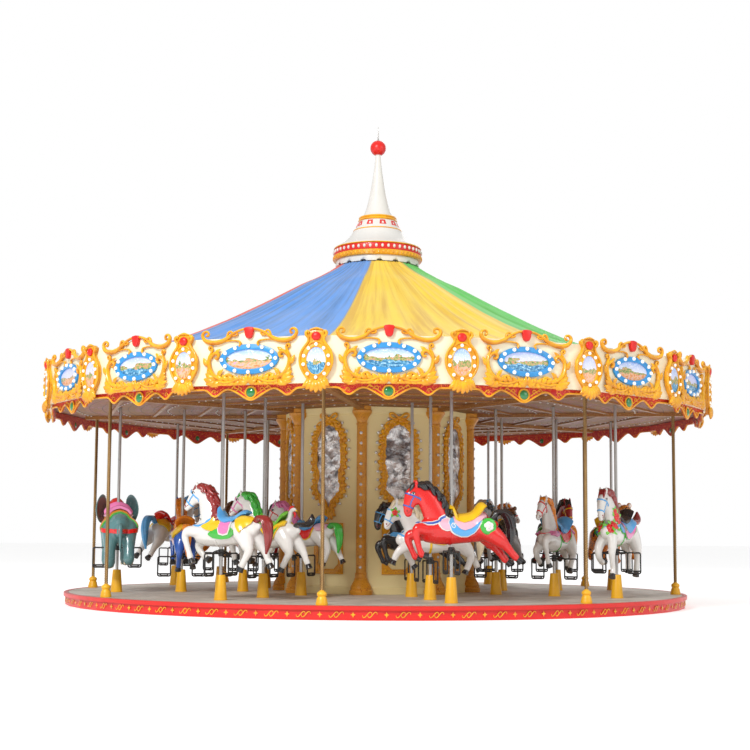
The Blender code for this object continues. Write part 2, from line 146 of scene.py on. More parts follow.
def around(piece, angles):
    # a front piece turned to each angle
    return spread(piece, [about(angle) for angle in angles])


def evenly(count, half=0):
    # angles all the way round
    return [2 * pi * (step + half) / count for step in range(count)]


def edit():
    # into edit mode with all of it selected
    bpy.ops.object.mode_set(mode="EDIT")
    bpy.ops.mesh.select_all(action="SELECT")


def leaveEdit():
    bpy.ops.object.mode_set(mode="OBJECT")


def applied(piece, kind, **values):
    # a modifier with its settings, applied at once
    change = piece.modifiers.new("change", kind)
    for key, value in values.items():
        setattr(change, key, value)
    bpy.ops.object.modifier_apply(modifier="change")


def choose(piece, test):
    # into edit mode with only the faces that pass the test selected
    pick(piece)
    bpy.ops.object.mode_set(mode="EDIT")
    bpy.ops.mesh.select_mode(type="FACE")
    bpy.ops.mesh.select_all(action="DESELECT")
    leaveEdit()
    for face in piece.data.polygons:
        face.select = test(face)
    bpy.ops.object.mode_set(mode="EDIT")


def opened(piece, thick=0, offset=-1, test=lambda face: len(face.vertices) > 4):
    # the end faces cut away, and a wall given to what is left
    choose(piece, test)
    bpy.ops.mesh.delete(type="FACE")
    leaveEdit()
    if thick:
        applied(piece, "SOLIDIFY", thickness=thick, offset=offset)
    return piece


def named(piece, name, slotName, *nodes, body="turntable"):
    piece.name = name
    piece.data.name = name
    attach(piece, body)
    if nodes:
        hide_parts(*nodes)
    return piece


def sewn(piece, merge=0):
    # doubled corners merged, faces turned outward
    pick(piece)
    edit()
    if merge:
        bpy.ops.mesh.remove_doubles(threshold=merge)
    bpy.ops.mesh.normals_make_consistent(inside=False)
    leaveEdit()


def gridOf(columns, rows, **place):
    nothingSelected()
    bpy.ops.mesh.primitive_grid_add(x_subdivisions=columns, y_subdivisions=rows, size=1, **place)
    return bpy.context.object


def circleOf(sides, radius, spot, **more):
    nothingSelected()
    bpy.ops.mesh.primitive_circle_add(vertices=sides, radius=radius, location=spot, **more)
    return bpy.context.object


def turnedPiece(profile, sides, finish, centre=(0, 0), smooth=35, start=0):
    # a ring drawn up through (radius, height) steps; a last radius of 0 closes to a point
    radius, z = profile[0]
    circleOf(sides, radius, (*centre, z), fill_type="NGON", rotation=(0, 0, start))
    edit()
    for (radius, z), (nextRadius, nextZ) in zip(profile, profile[1:]):
        bpy.ops.mesh.extrude_region_move(TRANSFORM_OT_translate={"value": (0, 0, nextZ - z)})
        if nextRadius == 0:
            bpy.ops.mesh.merge(type="CENTER")
        elif nextRadius != radius:
            share = nextRadius / radius
            bpy.ops.transform.resize(value=(share, share, 1), center_override=(centre[0], centre[1], nextZ))
    bpy.ops.mesh.select_all(action="SELECT")
    bpy.ops.mesh.normals_make_consistent(inside=False)
    leaveEdit()
    return finished(bpy.context.object, finish, smooth)


def bentRod(points, thickness, finish, closed=False, bevel=2, steps=3, squash=1, smooth=50, more=()):
    # round bar through (x, y, z, share of thickness), and more bars beside it; squash flattens front to back
    nothingSelected()
    bpy.ops.curve.primitive_bezier_curve_add(location=(0, 0, 0))
    rod = bpy.context.object
    curve = rod.data
    curve.splines.clear()
    for path in (points, *more):
        spline = curve.splines.new("BEZIER")
        spline.bezier_points.add(len(path) - 1)
        for knot, point in zip(spline.bezier_points, path):
            knot.co = point[:3]
            knot.radius = point[3] if len(point) > 3 else 1
            knot.handle_left_type = "AUTO"
            knot.handle_right_type = "AUTO"
        spline.use_cyclic_u = closed
    curve.dimensions = "3D"
    curve.resolution_u = steps
    curve.bevel_depth = thickness
    curve.bevel_resolution = bevel
    curve.use_fill_caps = not closed
    bpy.ops.object.convert(target="MESH")
    rod = bpy.context.object
    if squash != 1:
        middle = sum(point[1] for point in points) / len(points)
        edit()
        bpy.ops.transform.resize(value=(1, squash, 1), center_override=(0, middle, 0))
        leaveEdit()
    return finished(rod, finish, smooth)


def cutPlate(outlines, front, thick, finish, bevel=0, smooth=None):
    # a board cut to closed (x, z) outlines, its face at y = front; a second outline is a hole
    nothingSelected()
    bpy.ops.curve.primitive_bezier_circle_add(location=(0, 0, 0))
    plate = bpy.context.object
    curve = plate.data
    curve.splines.clear()
    curve.dimensions = "2D"
    curve.fill_mode = "BOTH"
    for outline in outlines:
        spline = curve.splines.new("POLY")
        spline.points.add(len(outline) - 1)
        for knot, (x, z) in zip(spline.points, outline):
            knot.co = (x, z, 0, 1)
        spline.use_cyclic_u = True
    curve.extrude = thick / 2 - bevel
    curve.bevel_depth = bevel
    curve.bevel_resolution = 1 if bevel else 0
    curve.offset = -bevel
    bpy.ops.object.convert(target="MESH")
    plate = bpy.context.object
    plate.rotation_euler = (pi / 2, 0, 0)
    plate.location = (0, front + thick / 2, 0)
    sewn(plate, 0.00005)
    return finished(plate, finish, smooth)


def dome(spot, size, finish, sides=10, rounds=6):
    # squashed ball at (x, y, z) with half sizes (x, y, z), or one for all
    nothingSelected()
    bpy.ops.mesh.primitive_uv_sphere_add(segments=sides, ring_count=rounds, radius=1, location=spot)
    ball = bpy.context.object
    ball.scale = size if isinstance(size, tuple) else (size, size, size)
    return finished(ball, finish, 60)


def oval(halfWidth, halfHeight, middle, steps):
    return [(halfWidth * cos(2 * pi * i / steps), middle + halfHeight * sin(2 * pi * i / steps))
        for i in range(steps)]


def leafShape(finish, width=0.4, thick=0.22):
    # one carved leaf: root at the origin, tip along +X, facing -Y
    nothingSelected()
    bpy.ops.mesh.primitive_uv_sphere_add(segments=8, ring_count=6, radius=0.5, location=(0.5, 0, 0),
        rotation=(0, pi / 2, 0))
    leaf = bpy.context.object
    settle()
    for corner in leaf.data.vertices:
        along = corner.co.x
        bend = 0.16 * sin(pi * along)
        corner.co.z = corner.co.z * width * (1.5 - along) * 1.25 + bend * 0.6
        corner.co.y = corner.co.y * thick - 0.1 * sin(pi * along * 0.9)
    return finished(leaf, finish, 60)


def laid(leaf, x, y, z, size, lean):
    # a leaf copy on a front face, leaning by an angle in the face
    return twinOf(leaf, moved(x, y, z) @ Matrix.Rotation(-lean, 4, "Y") @ Matrix.Scale(size, 4))


# Finishes

def link(source, target):
    target.id_data.links.new(source, target)


def newGroup(name, inputs, outputs):
    # node group with its sockets, its inner ends and the place on the object
    group = bpy.data.node_groups.new(name, "ShaderNodeTree")
    for way, keys in (("INPUT", inputs), ("OUTPUT", outputs)):
        for key, value in keys.items():
            kind = "NodeSocketColor" if isinstance(value, tuple) else "NodeSocketFloat"
            group.interface.new_socket(name=key, in_out=way, socket_type=kind).default_value = value
    place = nodeOf(group, "ShaderNodeTexCoord").outputs["Object"]
    return group, nodeOf(group, "NodeGroupInput").outputs, nodeOf(group, "NodeGroupOutput").inputs, place


def setInputs(node, **values):
    for key, value in values.items():
        node.inputs[key.replace("_", " ")].default_value = value
    return node


def nodeOf(tree, kind, **values):
    node = tree.nodes.new(kind)
    for key, value in values.items():
        setattr(node, key, value)
    return node


def calc(tree, operation, first, second=None, third=None, clamp=False):
    node = nodeOf(tree, "ShaderNodeMath", operation=operation, use_clamp=clamp)
    for socket, value in zip(node.inputs, (first, second, third)):
        if value is None:
            continue
        if isinstance(value, (int, float)):
            socket.default_value = value
        else:
            link(value, socket)
    return node.outputs[0]


def times(tree, first, second, clamp=False):
    return calc(tree, "MULTIPLY", first, second, clamp=clamp)


def mixColour(tree, share, first, second, blend="MIX"):
    node = nodeOf(tree, "ShaderNodeMix", data_type="RGBA", blend_type=blend)
    for socket, value in ((node.inputs[0], share), (node.inputs[6], first), (node.inputs[7], second)):
        if isinstance(value, tuple):
            socket.default_value = (*value[:3], 1)
        elif isinstance(value, (int, float)):
            socket.default_value = value
        else:
            link(value, socket)
    return node.outputs[2]


def rampNode(tree, value, stops):
    node = nodeOf(tree, "ShaderNodeValToRGB")
    ramp = node.color_ramp
    while len(ramp.elements) < len(stops):
        ramp.elements.new(0.5)
    for element, (place, colour) in zip(ramp.elements, stops):
        element.position = place
        element.color = (*colour, 1) if isinstance(colour, tuple) else (colour, colour, colour, 1)
    link(value, node.inputs[0])
    return node.outputs[0]


def noiseNode(tree, vector, scale, detail=4, rough=0.55, distort=0):
    node = nodeOf(tree, "ShaderNodeTexNoise")
    link(vector, node.inputs["Vector"])
    for key, value in (("Scale", scale), ("Detail", detail), ("Roughness", rough), ("Distortion", distort)):
        if isinstance(value, (int, float)):
            node.inputs[key].default_value = value
        else:
            link(value, node.inputs[key])
    return node.outputs[0]


def buildPaintGroup():
    # paint that is a little uneven and worn in patches, with painted light and dust where it faces up and painted
    # shade where it faces down
    group, inside, outside, place = newGroup("weatheredShadedPaint",
        {"Paint": (0.8, 0.8, 0.8, 1), "Under": (0.3, 0.3, 0.3, 1), "Scale": 6, "Wear": 0.3, "Shine": 0.3},
        {"Color": (0, 0, 0, 1), "Roughness": 0, "Height": 0})
    facing = nodeOf(group, "ShaderNodeSeparateXYZ")
    link(nodeOf(group, "ShaderNodeNewGeometry").outputs["Normal"], facing.inputs[0])
    cloud = noiseNode(group, place, inside["Scale"], 5, 0.6)
    fine = noiseNode(group, place, times(group, inside["Scale"], 14), 3, 0.6)
    patch = rampNode(group, cloud, ((0.42, 0), (0.72, 1)))
    # painted shade: the second, darker colour comes in more where the surface faces down
    low = calc(group, "MULTIPLY_ADD", facing.outputs[2], -0.5, 0.35, clamp=True)
    share = times(group, calc(group, "MULTIPLY_ADD", patch, 0.55, low), inside["Wear"], clamp=True)
    colour = mixColour(group, share, inside["Paint"], inside["Under"])
    # painted light with dust: a pale colour mixed in where the surface faces up
    dustAndTopLight = calc(group, "MULTIPLY_ADD", facing.outputs[2], 0.1, -0.04, clamp=True)
    link(mixColour(group, dustAndTopLight, colour, (0.75, 0.72, 0.66)), outside["Color"])
    rough = calc(group, "MULTIPLY_ADD", cloud, 0.22, inside["Shine"])
    link(calc(group, "ADD", rough, -0.09, clamp=True), outside["Roughness"])
    link(calc(group, "MULTIPLY_ADD", fine, 0.3, cloud), outside["Height"])
    return group


def buildScrollGroup():
    # painted or cast curls: a mask of thin winding lines over the surface
    group, inside, outside, place = newGroup("curlPattern", {"Scale": 12, "Width": 0.06}, {"Line": 0})
    swirl = noiseNode(group, place, inside["Scale"], 1, 0.5, 1.4)
    wave = calc(group, "PINGPONG", times(group, swirl, 6), 0.5)
    link(calc(group, "LESS_THAN", wave, inside["Width"]), outside["Line"])
    return group


paintGroup = buildPaintGroup()
curlGroup = buildScrollGroup()


def emptyMaterial(name, **values):
    made = bpy.data.materials.new(name)
    made.use_nodes = True
    return made, made.node_tree, setInputs(made.node_tree.nodes["Principled BSDF"], **values)


def groupNode(tree, group, **values):
    return setInputs(nodeOf(tree, "ShaderNodeGroup", node_tree=group), **values)


def bumpInto(tree, shader, height, strength, distance):
    bump = setInputs(nodeOf(tree, "ShaderNodeBump"), Strength=strength, Distance=distance)
    link(height, bump.inputs["Height"])
    link(bump.outputs[0], shader.inputs["Normal"])


def paintFinish(name, colour, wornShadedColour=None, scale=4, wear=0.35, shine=0.35, relief=0.002, **values):
    made, tree, shader = emptyMaterial(name, **values)
    # the second colour shows in worn patches and as painted shade where the surface faces down
    wornShadedColour = wornShadedColour or tuple(part * 0.55 for part in colour)
    effect = groupNode(tree, paintGroup, Paint=(*colour, 1), Under=(*wornShadedColour, 1), Scale=scale, Wear=wear, Shine=shine)
    link(effect.outputs["Color"], shader.inputs["Base Color"])
    link(effect.outputs["Roughness"], shader.inputs["Roughness"])
    bumpInto(tree, shader, effect.outputs["Height"], 0.25, relief)
    made.diffuse_color = (*colour, 1)
    return made


def overPaint(made, mask, colour):
    # a second colour over a painted finish, where the mask is 1
    tree = made.node_tree
    effect = next(node for node in tree.nodes if node.type == "GROUP")
    both = mixColour(tree, mask, effect.outputs["Color"], colour)
    link(both, tree.nodes["Principled BSDF"].inputs["Base Color"])
    return made


def curledFinish(name, colour, curl, curlScale, width, **values):
    # paint with curls of a second colour over it
    made = paintFinish(name, colour, **values)
    return overPaint(made, groupNode(made.node_tree, curlGroup, Scale=curlScale, Width=width).outputs[0], curl)


# the second colour of each finish is for worn patches and for the painted shade on downward faces
boardCream = paintFinish("boardCream", (0.9, 0.82, 0.6), (0.66, 0.54, 0.32), 1.6, 0.25, 0.42)
scrollGold = paintFinish("scrollGold", (0.96, 0.5, 0.008), (0.55, 0.16, 0.002), 9, 0.85, 0.3, Coat_Weight=0.12)
ringBlue = paintFinish("ringBlue", (0.035, 0.3, 0.66), (0.02, 0.15, 0.42), 5, 0.4, 0.3)
signRed = paintFinish("signRed", (0.76, 0.01, 0.005), (0.45, 0.006, 0.004), 5, 0.45, 0.36, Coat_Weight=0.1)
gemGreen = paintFinish("gemGreen", (0.01, 0.22, 0.05), (0.004, 0.08, 0.03), 8, 0.4, 0.12, Coat_Weight=1)
shellWhite = paintFinish("shellWhite", (0.76, 0.74, 0.7), (0.56, 0.53, 0.47), 2.5, 0.35, 0.32)
plainBlack = paintFinish("plainBlack", (0.015, 0.015, 0.016), (0.05, 0.045, 0.04), 8, 0.3, 0.38)
darkSteel = paintFinish("darkSteel", (0.07, 0.07, 0.07), (0.12, 0.06, 0.03), 5, 0.5, 0.5, Metallic=0.3)
poleSteel = paintFinish("poleSteel", (0.5, 0.48, 0.46), (0.3, 0.28, 0.26), 7, 0.4, 0.28, Metallic=0.85)
ropeBrass = paintFinish("ropeBrass", (0.4, 0.26, 0.11), (0.2, 0.11, 0.04), 9, 0.5, 0.34, Metallic=0.8)
coneYellow = paintFinish("coneYellow", (0.93, 0.5, 0.015), (0.62, 0.24, 0.005), 4, 0.45, 0.36)
pillarOrange = curledFinish("pillarOrange", (0.8, 0.34, 0.02), (0.46, 0.13, 0.01), 16, 0.07, scale=6,
    wear=0.5, shine=0.35)
frameGold = curledFinish("frameGold", (0.95, 0.44, 0.012), (0.55, 0.16, 0.004), 20, 0.1, scale=8, wear=0.6, shine=0.3)
studSilver = paintFinish("studSilver", (0.86, 0.85, 0.83), (0.45, 0.43, 0.4), 30, 0.5, 0.2, Metallic=0.3)
drumCream = paintFinish("drumCream", (0.92, 0.78, 0.4), (0.7, 0.52, 0.2), 1.3, 0.4, 0.45)
valanceRed = curledFinish("valanceRed", (0.6, 0.014, 0.012), (0.9, 0.26, 0.03), 10, 0.07, scale=5,
    wear=0.5, shine=0.4)
lampGlass = paintFinish("lampGlass", (0.93, 0.92, 0.88), (0.75, 0.72, 0.64), 12, 0.4, 0.14, Coat_Weight=0.6,
    Emission_Color=(1, 0.97, 0.9, 1), Emission_Strength=0.18)


def pictureFinish(name):
    # small landscape: sky and cloud, hills, bright roofs and fields, water in front
    made, tree, shader = emptyMaterial(name, Roughness=0.35, Coat_Weight=0.3)
    flat = nodeOf(tree, "ShaderNodeUVMap")
    parts = nodeOf(tree, "ShaderNodeSeparateXYZ")
    link(flat.outputs[0], parts.inputs[0])
    seed = nodeOf(tree, "ShaderNodeAttribute", attribute_name="panel")
    spot = nodeOf(tree, "ShaderNodeCombineXYZ")
    link(times(tree, parts.outputs[0], 2.4), spot.inputs[0])
    link(times(tree, parts.outputs[1], 1.6), spot.inputs[1])
    link(times(tree, seed.outputs["Fac"], 3.7), spot.inputs[2])
    broad = noiseNode(tree, spot.outputs[0], 1.4, 3, 0.6)
    busy = noiseNode(tree, spot.outputs[0], 7, 4, 0.65, 0.4)
    height = parts.outputs[1]
    skyline = calc(tree, "MULTIPLY_ADD", broad, 0.9, 0.1)
    shore = calc(tree, "MULTIPLY_ADD", broad, -0.5, 0.62)
    sky = rampNode(tree, height, ((0.45, (0.8, 0.82, 0.88)), (1, (0.2, 0.42, 0.8))))
    cloud = rampNode(tree, busy, ((0.5, 0), (0.66, 0.8)))
    sky = mixColour(tree, cloud, sky, (0.92, 0.92, 0.93))
    first = calc(tree, "FRACT", times(tree, seed.outputs["Fac"], 1.91))
    second = calc(tree, "FRACT", times(tree, seed.outputs["Fac"], 2.27))
    sky = mixColour(tree, times(tree, second, 0.7), sky, (0.62, 0.58, 0.86))
    land = rampNode(tree, busy, ((0.36, (0.06, 0.16, 0.05)), (0.48, (0.3, 0.38, 0.1)), (0.55, (0.62, 0.4, 0.2)),
        (0.63, (0.6, 0.12, 0.08)), (0.7, (0.85, 0.8, 0.7))))
    water = rampNode(tree, busy, ((0.4, (0.02, 0.12, 0.28)), (0.55, (0.1, 0.38, 0.6)), (0.68, (0.7, 0.85, 0.9))))
    field = rampNode(tree, busy,
        ((0.36, (0.55, 0.1, 0.06)), (0.46, (0.8, 0.36, 0.12)), (0.56, (0.75, 0.5, 0.3)), (0.66, (0.62, 0.3, 0.55))))
    front = mixColour(tree, calc(tree, "GREATER_THAN", first, 0.42), water, field)
    view = mixColour(tree, calc(tree, "LESS_THAN", height, skyline), sky, land)
    view = mixColour(tree, calc(tree, "LESS_THAN", height, shore), view, front)
    link(view, shader.inputs["Base Color"])
    bumpInto(tree, shader, busy, 0.15, 0.002)
    return made


def mirrorFinish(name):
    # mirror film that has come away and crumpled, with painted reflections as light and dark patches in its colour
    made, tree, shader = emptyMaterial(name, Metallic=0.55)
    place = nodeOf(tree, "ShaderNodeTexCoord").outputs["Object"]
    crease = setInputs(nodeOf(tree, "ShaderNodeTexVoronoi", feature="F1"), Scale=8)
    wobble = noiseNode(tree, place, 5, 3, 0.6, 1.5)
    link(place, crease.inputs["Vector"])
    crumple = calc(tree, "MULTIPLY_ADD", wobble, 1.6, crease.outputs["Distance"])
    # painted reflection: dark, grey and near-white patches in the film's colour
    patch = noiseNode(tree, place, 3.6, 6, 0.62, 1.6)
    link(rampNode(tree, patch, ((0.36, (0.16, 0.15, 0.16)), (0.46, (0.52, 0.51, 0.51)), (0.56, (0.92, 0.91, 0.9)))),
        shader.inputs["Base Color"])
    link(rampNode(tree, wobble, ((0.3, 0.12), (0.7, 0.38))), shader.inputs["Roughness"])
    bumpInto(tree, shader, crumple, 0.7, 0.04)
    return made


def placeAndParts(tree):
    # the spot on the object, whole and as its x, y and z
    place = nodeOf(tree, "ShaderNodeTexCoord").outputs["Object"]
    parts = nodeOf(tree, "ShaderNodeSeparateXYZ")
    link(place, parts.inputs[0])
    return place, parts.outputs


def angleAndRadius(tree):
    # angle from -Y towards +X, and distance from the mast
    place, parts = placeAndParts(tree)
    back = times(tree, parts[1], -1)
    angle = calc(tree, "ARCTAN2", parts[0], back)
    square = calc(tree, "MULTIPLY_ADD", parts[0], parts[0], times(tree, back, back))
    return place, angle, calc(tree, "SQRT", square), parts


def canopyFinish(name, colours):
    # coated cloth in four colours, changing at the seams over the rafters, with painted shade in darker streaks along
    # the folds
    made, tree, shader = emptyMaterial(name, Sheen_Weight=0.15)
    place, angle, radius, parts = angleAndRadius(tree)
    turn = calc(tree, "MULTIPLY_ADD", angle, 1 / bayStep, 0.5)
    gore = calc(tree, "FLOORED_MODULO", calc(tree, "FLOOR", turn), 4)
    ramp = nodeOf(tree, "ShaderNodeValToRGB")
    ramp.color_ramp.interpolation = "CONSTANT"
    while len(ramp.color_ramp.elements) < 4:
        ramp.color_ramp.elements.new(0.5)
    for step, (element, colour) in enumerate(zip(ramp.color_ramp.elements, colours)):
        element.position = step / 4
        element.color = (*colour, 1)
    link(calc(tree, "MULTIPLY_ADD", gore, 0.25, 0.1), ramp.inputs[0])
    part = calc(tree, "PINGPONG", turn, 0.5)
    seam = calc(tree, "LESS_THAN", times(tree, times(tree, part, radius), bayStep), 0.014)
    faded = noiseNode(tree, place, 1.6, 4, 0.6)
    soft = mixColour(tree, times(tree, rampNode(tree, faded, ((0.4, 0), (0.75, 1))), 0.12), ramp.outputs[0],
        (0.93, 0.86, 0.7))
    # painted shade: darker streaks running out from the crown along the folds
    fan = nodeOf(tree, "ShaderNodeCombineXYZ")
    link(calc(tree, "DIVIDE", parts[0], radius), fan.inputs[0])
    link(calc(tree, "DIVIDE", parts[1], radius), fan.inputs[1])
    link(times(tree, radius, 0.022), fan.inputs[2])
    foldShade = rampNode(tree, noiseNode(tree, fan.outputs[0], 24, 4, 0.6),
        ((0.34, (0.8, 0.66, 0.58)), (0.48, (0.93, 0.88, 0.86)), (0.6, 1)))
    soft = mixColour(tree, 1, soft, foldShade, "MULTIPLY")
    stitched = mixColour(tree, times(tree, seam, 0.35), soft, (0.35, 0.28, 0.16))
    link(stitched, shader.inputs["Base Color"])
    link(rampNode(tree, faded, ((0.3, 0.52), (0.7, 0.68))), shader.inputs["Roughness"])
    weave = noiseNode(tree, place, 95, 2, 0.5)
    bumpInto(tree, shader, calc(tree, "MULTIPLY_ADD", seam, -1, weave), 0.2, 0.003)
    return made


def ceilingFinish(name):
    # boards round the ride, painted with pink and cream curls on brown
    made, tree, shader = emptyMaterial(name, Specular_IOR_Level=0.3)
    place, angle, radius, parts = angleAndRadius(tree)
    wood = noiseNode(tree, place, 3, 5, 0.65, 0.8)
    board = rampNode(tree, wood, ((0.35, (0.17, 0.06, 0.01)), (0.6, (0.28, 0.12, 0.022)), (0.75, (0.38, 0.2, 0.05))))
    panel = calc(tree, "GREATER_THAN", calc(tree, "PINGPONG", radius, 0.35), 0.1)
    for scale, width, colour in ((5, 0.11, (0.33, 0.075, 0.15)), (8, 0.05, (0.4, 0.25, 0.13))):
        curls = groupNode(tree, curlGroup, Scale=scale, Width=width)
        board = mixColour(tree, times(tree, curls.outputs[0], panel), board, colour)
    gap = calc(tree, "LESS_THAN", calc(tree, "PINGPONG", radius, 0.0875), 0.004)
    link(mixColour(tree, gap, board, (0.05, 0.02, 0.01)), shader.inputs["Base Color"])
    link(rampNode(tree, wood, ((0.3, 0.45), (0.7, 0.65))), shader.inputs["Roughness"])
    bumpInto(tree, shader, calc(tree, "MULTIPLY_ADD", gap, -2, wood), 0.4, 0.004)
    return made


def deckFinish(name):
    # rolled plate with a raised lozenge pattern, grey-beige, scuffed in patches
    made, tree, shader = emptyMaterial(name, Metallic=0.15)
    place, parts = placeAndParts(tree)
    along = calc(tree, "ADD", parts[0], parts[1])
    across = calc(tree, "SUBTRACT", parts[0], parts[1])
    first = calc(tree, "PINGPONG", times(tree, along, 9), 0.5)
    second = calc(tree, "PINGPONG", times(tree, across, 9), 0.5)
    lozenge = calc(tree, "GREATER_THAN", times(tree, first, second), 0.1)
    scuff = noiseNode(tree, place, 2.2, 6, 0.65, 0.6)
    # partly the plate's own grey-beige, partly painted light: the colours are made paler to stand in for sunlight
    # falling on the deck
    plate = rampNode(tree, scuff, ((0.35, (0.5, 0.46, 0.4)), (0.55, (0.68, 0.63, 0.55)), (0.72, (0.8, 0.76, 0.68))))
    plate = mixColour(tree, times(tree, lozenge, 0.25), plate, (0.86, 0.82, 0.75))
    link(plate, shader.inputs["Base Color"])
    link(rampNode(tree, scuff, ((0.3, 0.62), (0.7, 0.42))), shader.inputs["Roughness"])
    bumpInto(tree, shader, lozenge, 0.5, 0.004)
    return made


scenery = pictureFinish("scenery")
mirrorFilm = mirrorFinish("mirrorFilm")
roofCloth = canopyFinish("roofCloth", ((0.93, 0.66, 0.035), (0.1, 0.62, 0.09), (0.8, 0.07, 0.05), (0.1, 0.32, 0.8)))
ceilingBoards = ceilingFinish("ceilingBoards")
floorPlate = deckFinish("floorPlate")
print("finishes made")


# Camera, light and floor

def setStage():
    studio = {"angle": radians(-14.2), "away": 19.97, "eye": 0.943, "pitch": radians(5.6), "roll": radians(0.36),
        "lens": 67.2, "shift": (-0.0021, 0.0307)}
    nothingSelected()
    bpy.ops.object.camera_add(location=at(studio["away"], studio["angle"], studio["eye"]))
    camera = bpy.context.object
    aim = about(studio["angle"]) @ Matrix.Rotation(pi / 2 + studio["pitch"], 4, "X")
    camera.rotation_euler = (aim @ Matrix.Rotation(studio["roll"], 4, "Z")).to_euler()
    camera.data.lens = studio["lens"]
    camera.data.sensor_width = 36
    camera.data.shift_x, camera.data.shift_y = studio["shift"]
    camera.data.clip_end = 400
    bpy.context.scene.camera = camera
    lamps = (("key", (-14.1, -16.9, 14), 5, 3500), ("fill", (13, -15, 9), 10, 600), ("rim", (6, 16, 13), 9, 600))
    for lampName, spot, size, power in lamps:
        bpy.ops.object.light_add(type="AREA", location=spot)
        lamp = bpy.context.object
        lamp.name = lampName
        lamp.data.size = size
        lamp.data.energy = power
        lamp.rotation_euler = (Vector((0, 0, 2)) - Vector(spot)).to_track_quat("-Z", "Y").to_euler()
    world = bpy.data.worlds.new("studio")
    world.use_nodes = True
    sky = world.node_tree
    rays = nodeOf(sky, "ShaderNodeLightPath")
    sky.nodes["Background"].inputs[0].default_value = (1, 1, 1, 1)
    link(calc(sky, "MULTIPLY_ADD", rays.outputs["Is Camera Ray"], 0.42, 0.58), sky.nodes["Background"].inputs[1])
    bpy.context.scene.world = world
    bpy.context.scene.view_settings.view_transform = "Standard"
    bpy.ops.mesh.primitive_plane_add(size=240, location=(0, 0, -0.001))
    floor = finished(bpy.context.object, paintFinish("studioFloor", (0.92, 0.92, 0.92), (0.86, 0.86, 0.86), 0.3, 0.2,
        0.7, Emission_Color=(1, 1, 1, 1), Emission_Strength=0.42))
    floor.name = "floor"


setStage()
print("camera and light set")


# Cornice: 18 cream boards, each with a crest, a picture in a blue ring and carved leaves

def boardOutline(cornice):
    half = cornice["halfWidth"]
    low, high, peak = cornice["low"], cornice["high"], cornice["peak"]
    rise = []
    for i in range(13):
        share = i / 12
        x = cornice["crestHalf"] * (1 - 2 * share)
        rise.append((x, high - 0.02 + (peak - high + 0.02) * cos(pi / 2 * (1 - 2 * share)) ** 1.5))
    return [(-half, low), (half, low), (half, high),
        (cornice["crestHalf"], high)] + rise + [(-cornice["crestHalf"], high), (-half, high)]


